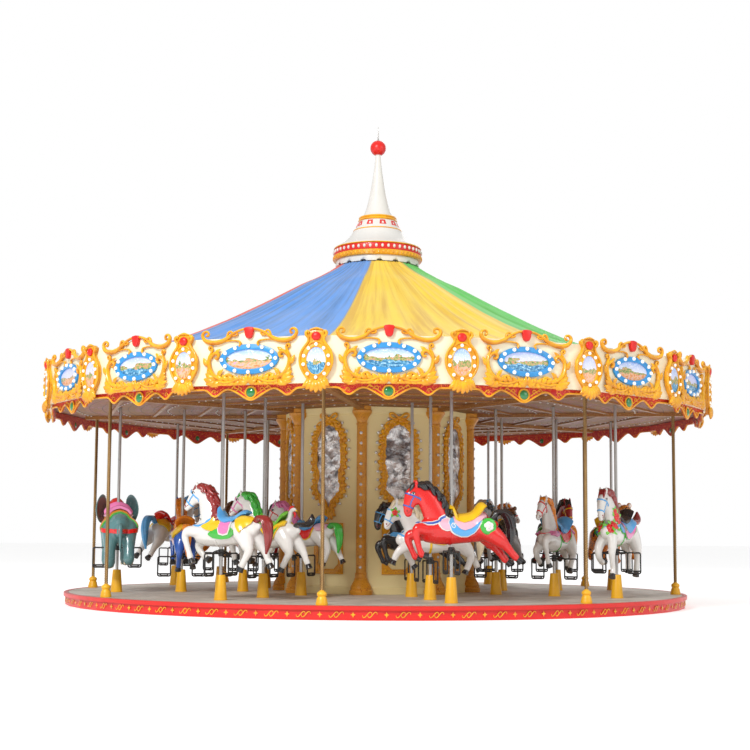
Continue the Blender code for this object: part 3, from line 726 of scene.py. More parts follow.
def makeCornice():
    cornice = {"low": 2.62, "high": 3.15, "peak": 3.245, "halfWidth": 0.802, "crestHalf": 0.34, "thick": 0.05,
        "face": -4.56, "proud": 0.022, "rod": 0.021, "oval": (0.361, 0.172), "hole": (0.284, 0.112),
        "ovalMiddle": 2.905, "bulb": 0.0235, "bulbs": 12}
    face, low = cornice["face"], cornice["low"]
    front = face - cornice["proud"]
    board = cutPlate([boardOutline(cornice)], face, cornice["thick"], boardCream, 0.004, 40)
    named(around(board, boardAngles), "cornice_boards", "cream_panel", "cornice")

    def path(line, y=front):
        return [(x, y, low + z, share) for x, z, share in knots(line)]

    rod = cornice["rod"]
    crest = path("-524 570 750, -510 562 550, -498 583 600, -512 609 700, -545 612 800, -572 585 900, -566 545 1000, "
        "-530 508 1200, -480 490 1300, -420 484 1350, -330 500 1300, -265 532 1100, -215 568 900, -150 602 750, "
        "-70 626 700, 0 632 700")
    curl = path("-270 530 500, -255 585 650, -225 604 650, -205 583 600, -222 566 400", front - 0.008)
    small = path("-215 555 400, -175 556 600, -145 572 600, -155 592 400")
    tendril = path("-360 476 300, -270 497 450, -160 498 500, -112 482 550, -108 450 750, -122 432 500")
    side = path("-462 400 400, -487 410 550, -480 440 700, -452 425 600, -460 375 700, -484 320 900, -490 250 1100, "
        "-475 180 1250, -435 115 1300, -375 78 1100, -300 66 800")
    inner = path("-478 290 600, -445 345 950, -402 362 1100, -372 338 1000, -384 302 800, -415 306 600")
    spray = path("-330 50 900, -285 100 900, -235 115 800, -205 85 700, -225 62 500")
    garland = path("-360 35 900, -270 22 900, -190 35 800, -115 62 800, -60 45 700, -75 20 500", front - 0.006)
    scrolls = [bentRod(points, rod, scrollGold, squash=1.3)
        for points in (crest, curl, small, tendril, side, inner, spray, garland)]
    leaf = leafShape(scrollGold)
    leaves = []
    fans = ((-0.39, 0.06, 0.16, 2.62), (-0.395, 0.05, 0.16, 2.98), (-0.39, 0.045, 0.14, 3.36),
        (-0.35, 0.045, 0.13, 3.65), (-0.43, 0.1, 0.12, 2.3), (-0.405, 0.345, 0.09, 0.85), (-0.4, 0.34, 0.07, 1.25),
        (-0.485, 0.22, 0.12, 2.2), (-0.37, 0.1, 0.1, 0.9))
    for x, z, size, lean in fans:
        leaves.append(laid(leaf, x, front - 0.004, low + z, size, lean))
    for step in range(5):
        x = -0.045 - 0.066 * step
        leaves.append(laid(leaf, x, front - 0.006, low + 0.035 + 0.004 * step, 0.105, pi - 0.75))
        leaves.append(laid(leaf, x + 0.01, front - 0.002, low + 0.045, 0.1, pi + 0.55))
    for lean in (pi / 2 + 0.1, pi / 2 + 0.65, pi - 0.35):
        leaves.append(laid(leaf, -0.008, front - 0.012, low + 0.012, 0.11, lean))
    scrolls.append(joined(leaves))
    gold = joined(withMirror(scrolls))
    removed([leaf])
    named(around(gold, boardAngles), "cornice_scrolls", "gold_paint")

    middle = cornice["ovalMiddle"]
    ring = cutPlate([oval(*cornice["oval"], middle, 40), oval(*cornice["hole"], middle, 40)], front - 0.008, 0.03,
        ringBlue, 0.006, 40)
    named(around(ring, boardAngles), "cornice_rings", "picture_panel")
    reach = [(a + b) / 2 + 0.006 for a, b in zip(cornice["oval"], cornice["hole"])]
    bulbs = spread(dome((0, 0, 0), cornice["bulb"], lampGlass, 8),
        [moved(x, front - 0.018, z) for x, z in oval(*reach, middle, cornice["bulbs"])])
    named(around(bulbs, boardAngles), "cornice_bulbs", "lamp_glass")
    key = cutPlate([knots("-14 3138, 14 3138, 34 3152, 46 3180, 52 3215, 63 3252, 45 3266, 0 3272, -45 3266, "
        "-63 3252, -52 3215, -46 3180, -34 3152")], front - 0.028, 0.055, signRed, 0.012, 50)
    named(around(key, boardAngles), "cornice_keystones", "red_paint")
    return front


def picturePlates(name, angles, y, middle, halfWidth, halfHeight, seedStart):
    # one oval picture for each place, each with its own seed for the landscape
    plate = circleOf(32, 1, (0, y, middle), fill_type="NGON", calc_uvs=True, rotation=(pi / 2, 0, 0))
    plate.scale = (halfWidth, halfHeight, 1)
    finished(plate, scenery)
    copies = []
    for step, angle in enumerate(angles):
        copy = twinOf(plate, about(angle))
        seed = copy.data.attributes.new("panel", "FLOAT", "POINT")
        for corner in seed.data:
            corner.value = seedStart + step * 0.73
        copies.append(copy)
    removed([plate])
    return named(joined(copies), name, "picture_panel")


boardFront = makeCornice()
picturePlates("cornice_pictures", boardAngles, boardFront + 0.012, 2.905, 0.286, 0.114, 0)
print("cornice done")


# Shields on the corners between boards

def makeShields():
    shield = {"front": -4.655, "thick": 0.05, "rod": 0.014, "bulb": 0.021}
    front = shield["front"]
    right = knots("55 2560, 72 2630, 105 2680, 150 2745, 178 2815, 184 2880, 170 2955, 135 3015, 100 3060, 86 3100, "
        "98 3130, 118 3155, 116 3185, 90 3195, 65 3212")
    outline = right + [(-x, z) for x, z in reversed(right)]
    plate = cutPlate([outline], front, shield["thick"], scrollGold, 0.01, 45)
    rim = [(x, front - 0.004, z) for x, z in right[:-1]]
    edge = bentRod(rim, shield["rod"], scrollGold)
    ear = bentRod([(0.075, front - 0.01, 3.12, 0.6), (0.108, front - 0.012, 3.14, 1.1),
        (0.112, front - 0.012, 3.18, 1.2), (0.085, front - 0.012, 3.19, 0.9), (0.088, front - 0.012, 3.165, 0.5)],
        shield["rod"], scrollGold)
    brow = bentRod([(0, front - 0.006, 3.075, 0.9), (0.05, front - 0.006, 3.065, 0.8),
        (0.085, front - 0.006, 3.035, 0.5)], shield["rod"], scrollGold)
    top = bentRod([(-0.075, front - 0.008, 3.205, 0.5), (0, front - 0.01, 3.222, 1),
        (0.075, front - 0.008, 3.205, 0.5)], shield["rod"], scrollGold)
    frameRing = bentRod([(x, front - 0.004, z) for x, z in oval(0.118, 0.163, 2.86, 16)], 0.01, scrollGold,
        closed=True, bevel=1, steps=2)
    fan = []
    leaf = leafShape(scrollGold, width=0.5, thick=0.35)
    for step in range(-3, 4):
        lean = -pi / 2 + step * 0.3
        fan.append(laid(leaf, step * 0.017, front - 0.006, 2.65, 0.15 - abs(step) * 0.007, lean))
    for step, lean in ((-1, -2.5), (1, -0.65)):
        fan.append(laid(leaf, step * 0.02, front - 0.008, 2.655, 0.11, lean))
    removed([leaf])
    gold = joined(withMirror([edge, ear, brow]) + [plate, top, frameRing] + fan)
    named(around(gold, shieldAngles), "shields", "gold_paint")
    jewel = dome((0, front - 0.012, 3.135), (0.054, 0.026, 0.05), signRed, 14, 8)
    named(around(jewel, shieldAngles), "shield_jewels", "red_paint")
    spots = knots("0 3045, 85 3000, 138 2915, 142 2820, 95 2715, 0 2675, -85 3000, -138 2915, -142 2820, -95 2715")
    bulbs = spread(dome((0, 0, 0), shield["bulb"], lampGlass, 8), [moved(x, front - 0.012, z) for x, z in spots])
    named(around(bulbs, shieldAngles), "shield_bulbs", "lamp_glass")
    return front


shieldFront = makeShields()
picturePlates("shield_pictures", shieldAngles, shieldFront - 0.001, 2.86, 0.113, 0.158, 20)
print("shields done")


# Valance: scalloped red fringe with a gold edge and a green stone in each board's middle

def makeValance():
    valance = {"face": -4.505, "thick": 0.018, "top": 2.655, "edge": 0.0115, "stone": 0.058}
    half = knots("790 2575, 620 2575, 565 2572, 530 2555, 495 2525, 462 2503, 430 2500, 395 2520, 350 2552, "
        "300 2575, 250 2572, 190 2545, 120 2505, 65 2472, 30 2456, 0 2452")
    low = half + [(-x, z) for x, z in half[-2::-1]]
    board = cutPlate([low + [(-0.79, valance["top"]), (0.79, valance["top"])]], valance["face"], valance["thick"],
        valanceRed, 0, 30)
    named(around(board, boardAngles), "valance_boards", "red_paint", "valance")
    front = valance["face"] - 0.004
    edge = bentRod([(x, front, z) for x, z in low], valance["edge"], scrollGold, bevel=1, steps=2)
    inner = bentRod([(x * 0.86, front + 0.002, z + 0.032, 0.5) for x, z in half[10:]], valance["edge"], scrollGold,
        bevel=1, steps=2)
    rimPath = [(x, front - 0.006, z) for x, z in oval(valance["stone"] + 0.006, valance["stone"] + 0.006, 2.535, 12)]
    rim = bentRod(rimPath, 0.011, scrollGold, closed=True, bevel=1, steps=2)
    curls = []
    for x, z, size in ((0.13, 2.57, 1), (0.205, 2.59, 0.8), (0.45, 2.55, 0.9)):
        turn = [(x + size * 0.03 * (1 - i / 9) * cos(i * 0.75), front, z + size * 0.03 * (1 - i / 9) * sin(i * 0.75),
            1 - i * 0.07) for i in range(9)]
        curls.append(bentRod([(x + 0.07 * size, front, z - 0.02, 0.4)] + turn, 0.006, scrollGold, bevel=1, steps=2))
    gold = joined([edge, rim] + withMirror([inner] + curls))
    named(around(gold, boardAngles), "valance_edges", "gold_paint")
    stone = dome((0, front, 2.535), (valance["stone"], 0.03, valance["stone"]), gemGreen, 18, 10)
    named(around(stone, boardAngles), "valance_stones", "picture_panel")


makeValance()
print("valance done")


# Roof: one cloth over eight rafters, gathered into pleats at the crown

def roofProfile(radius):
    steps = knots("560 4800, 720 4695, 950 4565, 1200 4450, 1750 4145, 2300 3860, 2800 3630, 3300 3430, "
        "3900 3240, 4440 3080")
    for (inner, high), (outer, low) in zip(steps, steps[1:]):
        if radius <= outer:
            return high + (low - high) * (radius - inner) / (outer - inner)
    return steps[-1][1]


def makeCanopy():
    roof = {"top": 0.585, "eave": 4.44, "rings": 30, "sides": 576, "sag": 0.034, "pleat": 0.04, "hem": 2.93,
        "cloth": 0.003, "lift": 0.006}
    cloth = circleOf(roof["sides"], roof["top"], (0, 0, 5))
    edit()
    radius = roof["top"]
    for step in range(roof["rings"]):
        wider = roof["top"] + (roof["eave"] - roof["top"]) * ((step + 1) / roof["rings"]) ** 1.25
        bpy.ops.mesh.extrude_region_move()
        bpy.ops.transform.resize(value=(wider / radius, wider / radius, 1), center_override=(0, 0, 5))
        radius = wider
    bpy.ops.mesh.extrude_region_move(TRANSFORM_OT_translate={"value": (0, 0, -0.5)})
    leaveEdit()
    settle()
    for corner in cloth.data.vertices:
        x, y, z = corner.co
        radius = hypot(x, y)
        angle = atan2(x, -y)
        turn = angle / bayStep + 0.5
        bay, part = floor(turn), turn % 1
        out = min(1, max(0, (radius - roof["top"]) / (roof["eave"] - roof["top"])))
        between = sin(pi * part)
        sag = roof["sag"] * between * max(0, sin(pi * out)) ** 0.7
        rng = random.Random(bay % 8 + 41)
        wave = 0
        for fold in range(11):
            place = (fold + 0.5 + rng.uniform(-0.3, 0.3)) / 11
            wide, deep = rng.uniform(0.03, 0.055), rng.uniform(0.5, 1.2)
            wave += deep * exp(-((part - place) / wide) ** 2)
        crisp = min(1, radius / 2) * (1 - 0.35 * out * out)
        pleat = roof["pleat"] * crisp * min(1, between * 3) * (wave - 0.8)
        if z < 4.9:
            corner.co.z = roof["hem"]
        else:
            corner.co = (x, y, roofProfile(radius) + roof["lift"] - sag + pleat - 0.006)
    sewn(cloth)
    if cloth.data.polygons[0].normal.z < 0:
        cloth.data.flip_normals()
    area = sum(face.area for face in cloth.data.polygons)
    applied(cloth, "SOLIDIFY", thickness=roof["cloth"])
    finished(cloth, roofCloth, 50)
    named(cloth, "canopy_cloth", "roof_cloth", "canopy")
    return area


print("canopy done, square metres of cloth:", round(makeCanopy(), 2))


# Crown, spire and ball

def makeCrown():
    crown = {"notches": 16, "beads": 58, "studs": 46, "marks": 10}
    skirt = turnedPiece(knots("560 4790, 597 4790, 603 4810, 597 4872, 550 4872, 0 4872"), 160, shellWhite, smooth=30)
    for corner in skirt.data.vertices:
        if corner.co.z < 4.8 and hypot(corner.co.x, corner.co.y) > 0.55:
            turn = atan2(corner.co.x, -corner.co.y) / (2 * pi) * crown["notches"]
            corner.co.z = 4.815 if abs(turn % 1 - 0.5) < 0.14 else 4.79
    named(skirt, "crown_skirt", "white_shell", "crown")
    band = turnedPiece(knots("600 4872, 632 4874, 640 4884, 640 4938, 632 4948, 590 4950, 0 4950"), 96, frameGold)
    beads = around(dome((0, -0.64, 4.911), (0.02, 0.008, 0.026), scrollGold, 8), evenly(crown["beads"]))
    line = turnedPiece(knots("600 5044, 628 5045, 633 5052, 628 5060, 590 5061, 0 5061"), 96, scrollGold)
    gold = joined([band, line, beads])
    named(gold, "crown_bands", "gold_paint")
    red = turnedPiece(knots("600 4949, 626 4951, 630 4960, 624 5036, 615 5045, 0 5045"), 96, signRed)
    named(red, "crown_red_band", "red_paint")
    studs = [dome(at(0.629, turn, 4.998), (0.02, 0.02, 0.027), shellWhite) for turn in evenly(crown["studs"])]
    named(joined(studs), "crown_studs", "white_shell")
    flare = turnedPiece(knots("600 5059, 612 5064, 605 5074, 565 5098, 515 5130, 468 5168, 425 5210, 388 5255, "
        "360 5300, 352 5314, 0 5314"), 96, shellWhite)
    named(flare, "crown_flare", "white_shell")
    collars = [turnedPiece(knots("320 5308, 350 5310, 356 5319, 350 5329, 335 5335, 0 5335"), 80, scrollGold),
        turnedPiece(knots("250 5455, 276 5458, 284 5472, 272 5488, 268 5494, 276 5508, 268 5524, 240 5531, 0 5531"),
        80, scrollGold)]
    named(joined(collars), "crown_rings", "gold_paint")
    neck = turnedPiece(knots("333 5330, 322 5350, 304 5385, 290 5420, 270 5462, 0 5462"), 80, shellWhite)
    named(neck, "crown_neck", "white_shell")
    mark = cutPlate([knots("-48 0, 48 0, 36 72, -36 72"), knots("-18 12, 18 12, 15 50, -15 50")], -0.004, 0.012,
        signRed, 0.002)
    slope = moved(0, -0.308, 5.378) @ Matrix.Rotation(-0.43, 4, "X")
    marks = spread(mark, [about(turn) @ slope for turn in evenly(crown["marks"])])
    named(marks, "crown_marks", "red_paint")
    spire = turnedPiece(knots("225 5525, 215 5545, 186 5600, 160 5680, 138 5770, 118 5860, 100 5960, 84 6060, "
        "70 6160, 56 6260, 44 6360, 37 6440, 44 6452, 42 6466, 0 6466"), 64, shellWhite)
    named(spire, "spire_shell", "white_shell", "spire")
    ball = dome((0, 0, 6.56), 0.114, signRed, 40, 24)
    named(ball, "spire_ball", "red_paint", "finial_ball")
    needle = turnedPiece(knots("18 6655, 16 6675, 10 6700, 8 6800, 4 6879, 0 6880"), 16, poleSteel)
    named(needle, "spire_needle", "pole_steel")


makeCrown()
print("crown done")


# Plain nodes that keep their shape

def painted(nodeName, finish):
    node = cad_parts[nodeName]
    node.data.materials.clear()
    node.data.materials.append(finish)


for nodeName in ("base_frame", "centre_mast", "roof_frame"):
    painted(nodeName, darkSteel)
painted("base_skirt", signRed)
painted("ceiling", ceilingBoards)
for segment in range(1, 9):
    painted(f"deck_{segment}", floorPlate)


# Under the ceiling: brown sweeps over the posts, ring battens and rows of white dots

def makeCeilingTrim():
    trim = {"sweepIn": 1.38, "sweepOut": 4.33, "half": 0.045, "drop": 0.05, "battens": (1.95, 2.62, 3.3, 3.98),
        "dots": (1.62, 2.28, 2.95, 3.64, 4.22)}
    corners = evenly(8, 0.5)
    half, drop = trim["half"], trim["drop"]
    sweep = cutPlate([((-half, ceilingZ - drop), (half, ceilingZ - drop), (half, ceilingZ - 0.0005),
        (-half, ceilingZ - 0.0005))], -trim["sweepOut"], trim["sweepOut"] - trim["sweepIn"], ceilingBrown, 0.006, 40)
    named(around(sweep, corners), "ceiling_sweeps", "ceiling_board")
    battens = []
    for radius in trim["battens"]:
        batten = turnedPiece(((radius - 0.025, ceilingZ - 0.0005), (radius - 0.025, ceilingZ - 0.022),
            (radius + 0.025, ceilingZ - 0.022), (radius + 0.025, ceilingZ - 0.0005)), 8, ceilingBrown, start=pi / 8)
        battens.append(opened(batten))
    named(joined(battens), "ceiling_battens", "ceiling_board")
    dots = [moved(at(radius, turn, ceilingZ - 0.006)) for radius in trim["dots"]
        for turn in evenly(int(2 * pi * radius / 0.16))]
    dots = spread(dome((0, 0, 0), (0.014, 0.014, 0.008), shellWhite, 6, 4), dots)
    named(dots, "ceiling_dots", "white_shell")


ceilingBrown = curledFinish("ceilingBrown", (0.34, 0.13, 0.03), (0.52, 0.27, 0.07), 14, 0.07, scale=5,
    wear=0.5, shine=0.42)
makeCeilingTrim()
print("ceiling done")


# Centre drum: cream walls, studded pillars, crumpled mirror film in carved frames

mirrorRight = knots("0 1170, 50 1220, 80 1300, 100 1370, 160 1420, 225 1480, 255 1550, 250 1640, 220 1720, 235 1800, "
    "270 1880, 255 1980, 265 2080, 245 2170, 260 2240, 235 2300, 200 2370, 140 2440, 70 2480, 0 2500")


def smoothOutline(right, rounds=2):
    # whole outline from its right half, corners rounded
    points = [Vector(point) for point in right] + [Vector((-x, z)) for x, z in right[-2:0:-1]]
    for step in range(rounds):
        rounded = []
        for here, there in zip(points, points[1:] + points[:1]):
            rounded += [here * 0.75 + there * 0.25, here * 0.25 + there * 0.75]
        points = rounded
    return [tuple(point) for point in points]


def shrunk(outline, inset):
    # the outline moved inwards by a distance
    result = []
    count = len(outline)
    for i in range(count):
        before, after = Vector(outline[i - 3]), Vector(outline[(i + 3) % count])
        along = (after - before).normalized()
        result.append((outline[i][0] - along.y * inset, outline[i][1] + along.x * inset))
    return result


def insideOf(outline, x, z):
    hit = False
    for (ax, az), (bx, bz) in zip(outline, outline[1:] + outline[:1]):
        if (az > z) != (bz > z) and x < (bx - ax) * (z - az) / (bz - az) + ax:
            hit = not hit
    return hit


def crumpledFilm(outline, y, cell, depth, finish, seed):
    # a grid of small faces, pushed in and out, kept where it lies inside the outline
    lowX, highX = min(x for x, z in outline), max(x for x, z in outline)
    lowZ, highZ = min(z for x, z in outline), max(z for x, z in outline)
    columns, rows = int((highX - lowX) / cell), int((highZ - lowZ) / cell)
    film = gridOf(columns, rows, location=((lowX + highX) / 2, y, (lowZ + highZ) / 2), rotation=(pi / 2, 0, 0))
    film.scale = (highX - lowX, highZ - lowZ, 1)
    settle()
    for corner in film.data.vertices:
        spot = corner.co * 5.5 + Vector((seed, seed * 2.3, 0))
        fold = noise.noise(spot) + 0.6 * noise.noise(spot * 2.4) + abs(noise.noise(spot * 1.5)) * 0.8
        corner.co.y -= depth * (0.5 + fold * 0.55)
    opened(film, 0.002, test=lambda face: not insideOf(outline, face.center.x, face.center.z))
    return finished(film, finish, 60)


def makeDrum():
    drum = {"corner": 1.33, "wall": -1.2288, "foot": deckTop + 0.0003, "head": ceilingZ - 0.0003, "film": 0.016,
        "stud": 0.021, "studGap": 0.052, "studEvery": 0.128}
    wallY, foot, head = drum["wall"], drum["foot"], drum["head"]
    faces = evenly(8)
    corners = evenly(8, 0.5)
    wall = turnedPiece(((1.342, foot), *knots("1342 250, 1330 262, 1326 270, 1326 2560, 1338 2570, 1345 2600"),
        (1.345, head)), 8, drumCream, start=pi / 8)
    opened(wall, 0.03)
    named(wall, "drum_wall", "cream_panel", "centre_drum")

    outer = smoothOutline(mirrorRight)
    inner = shrunk(outer, 0.072)
    plate = cutPlate([outer, inner], wallY - 0.026, 0.028, frameGold, 0.007, 45)
    lips = [bentRod([(x, wallY - 0.026, z) for x, z in line[::2]], 0.009, scrollGold, closed=True, bevel=1, steps=1)
        for line in (shrunk(outer, 0.008), shrunk(outer, 0.064))]
    leaf = leafShape(scrollGold, width=0.5)
    leaves = []
    ridge = shrunk(outer, 0.036)
    for step in range(0, len(ridge), 3):
        (x, z), (nextX, nextZ) = ridge[step], ridge[(step + 2) % len(ridge)]
        lean = atan2(nextZ - z, nextX - x)
        turn = lean + (0.7 if step % 2 else -0.7)
        leaves.append(laid(leaf, x, wallY - 0.031, z, 0.062, turn))
    knobs = shrunk(outer, -0.004)
    for step in range(1, len(knobs), 4):
        x, z = knobs[step]
        leaves.append(dome((x, wallY - 0.02, z), (0.03, 0.02, 0.03), scrollGold))
    bow = []
    for side in (-1, 1):
        loop = knots("0 2505, 45 2545, 90 2575, 128 2565, 122 2530, 75 2505, 20 2500")
        bow.append(bentRod([(side * x, wallY - 0.034, z, 1 - 0.25 * abs(i - 3) / 3) for i, (x, z) in enumerate(loop)],
            0.016, scrollGold, squash=0.8))
        tail = [(side * 0.02, wallY - 0.034, 2.5, 0.8), (side * 0.09, wallY - 0.036, 2.475, 0.9),
            (side * 0.16, wallY - 0.034, 2.455, 0.7), (side * 0.205, wallY - 0.032, 2.41, 0.4)]
        bow.append(bentRod(tail, 0.014, scrollGold, squash=0.8))
    bow.append(dome((0, wallY - 0.042, 2.512), (0.026, 0.016, 0.026), scrollGold, 12, 8))
    for x, lean in ((0, -pi / 2), (0.02, -pi / 2 + 0.5), (-0.02, -pi / 2 - 0.5), (0.03, -0.4), (-0.03, pi + 0.4)):
        bow.append(laid(leaf, x, wallY - 0.034, 1.24, 0.11, lean))
    removed([leaf])
    gold = joined([plate] + lips + leaves + bow)
    named(around(gold, faces), "drum_mirror_frames", "gold_paint")
    filmEdge = shrunk(outer, 0.03)
    films = []
    for step, angle in enumerate(faces):
        film = crumpledFilm(filmEdge, wallY - 0.003, 0.023, drum["film"], mirrorFilm, 3.1 * step)
        films.append(twinOf(film, about(angle)))
        removed([film])
    named(joined(films), "drum_mirror_film", "mirror_film")

    low, high, half = 0.425, 1.105, 0.228
    cut, band = 0.07, 0.062
    frameOut = [(-half, low), (half, low), (half, high), (-half, high)]
    x, z0, z1 = half - band, low + band, high - band
    frameIn = [(-x + cut, z0), (x - cut, z0), (x, z0 + cut), (x, z1 - cut), (x - cut, z1), (-x + cut, z1),
        (-x, z1 - cut), (-x, z0 + cut)]
    lower = cutPlate([frameOut, frameIn], wallY - 0.02, 0.022, frameGold, 0.006, 40)
    ring = []
    for (ax, az), (bx, bz) in zip(frameIn, frameIn[1:] + frameIn[:1]):
        ring.append(bentRod([(ax, wallY - 0.021, az), (bx, wallY - 0.021, bz)], 0.006, scrollGold, bevel=1, steps=1))
    for sx in (-1, 1):
        for z in (low + 0.05, high - 0.05):
            ring.append(dome((sx * (half - 0.05), wallY - 0.022, z), (0.026, 0.012, 0.026), scrollGold))
    named(around(joined([lower] + ring), faces), "drum_lower_frames", "gold_paint")

    studPath = shrunk(outer, -drum["studGap"])
    stud = dome((0, 0, 0), (drum["stud"], 0.012, drum["stud"]), studSilver)
    studs, walked, last = [], 0, Vector(studPath[0])
    for spot in studPath:
        walked += (Vector(spot) - last).length
        last = Vector(spot)
        if walked >= drum["studEvery"]:
            walked -= drum["studEvery"]
            if 1.33 < spot[1] < 2.62:
                studs.append(twinOf(stud, moved(spot[0], wallY - 0.006, spot[1])))
    named(around(joined(studs), faces), "drum_wall_studs", "pole_steel")

    pillarProfile = ((0.15, foot),
        *knots("156 190, 156 215, 138 232, 142 250, 128 285, 105 325, 88 355, 90 372, 78 385, 76 430, 82 440, "
        "69 452, 67 2400, 74 2410, 78 2425, 70 2440, 72 2470, 90 2510, 115 2550, 132 2575, 134 2600, 122 2612"),
        (0.124, head), (0, head))
    pillar = turnedPiece(pillarProfile, 28, pillarOrange, centre=(0, -drum["corner"]), smooth=30)
    named(around(pillar, corners), "drum_pillars", "gold_paint")
    pillarStuds = [twinOf(stud, moved(0, -drum["corner"] - 0.068, 0.52 + 0.137 * step)) for step in range(14)]
    removed([stud])
    named(around(joined(pillarStuds), corners), "drum_pillar_studs", "pole_steel")


makeDrum()
print("drum done")


# Posts: twisted brass rods in turned yellow feet

def makePosts():
    post = {"pitch": 0.11, "foot": deckTop + 0.15, "head": ceilingZ - 0.0003, "steps": 9}
    rope = circleOf(24, 0.0235, (0, 0, post["foot"]))
    settle()
    for corner in rope.data.vertices:
        turn = atan2(corner.co.y, corner.co.x)
        share = 0.66 + 0.34 * abs(cos(2 * turn))
        corner.co.x *= share
        corner.co.y *= share
    length = post["head"] - post["foot"]
    turns = round(length / post["pitch"])
    pick(rope)
    steps = post["steps"] * turns
    applied(rope, "SCREW", angle=2 * pi * turns, screw_offset=length, steps=steps, render_steps=steps,
        use_smooth_shade=True)
    sewn(rope)
    finished(rope, ropeBrass, 40)
    foot = [(0.068, deckTop + 0.0003), *knots("69 185, 63 200, 62 205, 60 225, 52 243, 47 252, 47 258, 54 268, "
        "57 282, 54 296, 44 308, 30 316, 22 326, 0 326")]
    for number in range(1, 9):
        spot = (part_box(f"post_{number}")[0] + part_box(f"post_{number}")[1]) / 2
        place = moved(spot.x, spot.y, 0)
        named(twinOf(rope, place), f"post_rod_{number}", "brass_pole", f"post_{number}")
        base = turnedPiece(foot, 28, coneYellow, smooth=30)
        named(twinOf(base, place), f"post_foot_{number}", "gold_paint")
        removed([base])
    removed([rope])


def makeConesAndRim():
    profile = ((0.0802, deckTop + 0.0003), (0.0802, 0.175), (0.0775, 0.178), (0.0545, 0.452), (0.051, 0.461),
        (0.0265, 0.461), (0.0235, 0.458), (0.0235, deckTop + 0.0003))
    cone = opened(turnedPiece(profile, 32, coneYellow, smooth=30))
    bpy.ops.object.mode_set(mode="EDIT")
    bpy.ops.mesh.select_mode(type="EDGE")
    bpy.ops.mesh.select_all(action="DESELECT")
    bpy.ops.mesh.select_non_manifold()
    bpy.ops.mesh.bridge_edge_loops()   # the cone stays open for the pole, closed round its foot
    leaveEdit()
    sewn(cone)
    cones = spread(cone, [moved(at(ring, turn)) for ring, size in rings.values() for turn in evenly(8)])
    named(cones, "floor_cones", "gold_paint")
    rim = turnedPiece(((4.302, 0.113), (4.3035, 0.114), (4.3035, 0.158), (4.298, 0.1612), (4.24, 0.1612)),
        256, signRed)
    opened(rim, 0.0009, 1)
    named(rim, "deck_rim", "red_paint")


def makeFascia():
    # yellow motifs round the red base: pairs of slanted curls, then a four-pointed star
    units = 72
    y, middle = -4.2815, 0.064
    curls = []
    for side in (-1, 1):
        x = side * 0.03
        bends = knots("-60 -4 500, -58 -20 700, -42 -29 900, -22 -20 1000, -6 -6 1100, 6 6 1100, 22 20 1000, "
            "42 29 900, 58 20 700, 60 4 500")
        points = [(x + dx * 0.85, y, middle + dz * 1.05, share) for dx, dz, share in bends]
        curls.append(bentRod(points, 0.0058, scrollGold, bevel=1, steps=2, squash=0.4))
    curls = joined(curls)
    points = knots("0 34, 9 10, 30 0, 9 -10, 0 -34, -9 -10, -30 0, -9 10")
    star = cutPlate([[(x, middle + z) for x, z in points]], y - 0.001, 0.003, scrollGold)
    named(around(curls, evenly(units)), "fascia_curls", "gold_paint", body="base")
    named(around(star, evenly(units, 0.5)), "fascia_stars", "gold_paint", body="base")


makePosts()
makeConesAndRim()
makeFascia()
print("posts, cones and fascia done")


# Animals: modelled with the pole at x = y = 0, nose along +X, +Y outwards, then set on their rings

gloss = {"Coat_Weight": 0.55, "Coat_Roughness": 0.08}
paints = {"red": (0.78, 0.01, 0.008), "white": (0.84, 0.82, 0.78), "black": (0.012, 0.012, 0.014),
    "blue": (0.03, 0.12, 0.5), "skyBlue": (0.1, 0.42, 0.83), "pink": (0.86, 0.22, 0.5), "palePink": (0.88, 0.5, 0.62),
    "yellow": (0.95, 0.58, 0.01), "green": (0.05, 0.5, 0.05), "leafGreen": (0.18, 0.62, 0.05),
    "orange": (0.92, 0.28, 0.015), "maroon": (0.3, 0.02, 0.018), "brown": (0.2, 0.075, 0.025),
    "purple": (0.42, 0.08, 0.4), "grey": (0.36, 0.36, 0.36), "teal": (0.1, 0.24, 0.25), "cream": (0.86, 0.74, 0.5),
    "darkRed": (0.42, 0.012, 0.016)}
madePaints = {}


def paint(name):
    if name not in madePaints:
        colour = paints[name]
        # a darker copy of the colour, for worn patches and for painted shade on downward faces
        wornShadedColour = tuple(part * 0.62 for part in colour)
        madePaints[name] = paintFinish("shell_" + name, colour, wornShadedColour, 5, 0.45, 0.24, 0.0015, **gloss)
    return madePaints[name]


def rods(paths, thickness, finish, bevel=1, steps=4, closed=False, smooth=60):
    # several bars made as one piece
    return bentRod(paths[0], thickness, finish, closed, bevel, steps, smooth=smooth, more=paths[1:])


def legs(side, near, far):
    # a leg on each side: its knots, then the tip of the hoof
    made = []
    for place, line in ((side, near), (-side, far)):
        *points, hoof = knots(line)
        made.append((place, points, hoof))
    return made


horseShapes = {}
horseShapes["bowed"] = {"neck": knots("140 60 150, 200 190 150, 265 310 135, 330 400 110, 400 455 80"),
    "head": knots("410 455 80, 470 392 101, 508 308 80, 527 240 60, 524 192 50"),
    "crest": knots("440 515, 350 525, 245 480, 160 410, 100 320, 50 210"),
    "front": legs(0.088,
        "200 20 105, 330 0 76, 430 12 55, 456 -30 46, 440 -120 36, 412 -220 31, 385 -285 35, 315 -305",
        "220 -30 100, 370 -60 72, 475 -62 53, 500 -100 45, 475 -190 35, 440 -265 31, 412 -315 35, 345 -340"),
    "hind": legs(0.085,
        "-340 30 135, -470 -40 118, -575 -120 84, -645 -185 56, -710 -255 42, -770 -320 37, -835 -370",
        "-340 30 135, -450 -60 112, -530 -150 78, -590 -215 54, -650 -290 41, -700 -350 37, -765 -400"),
    "ear": (0.435, 0.515), "eye": (0.482, 0.428), "nostril": (0.56, 0.215)}
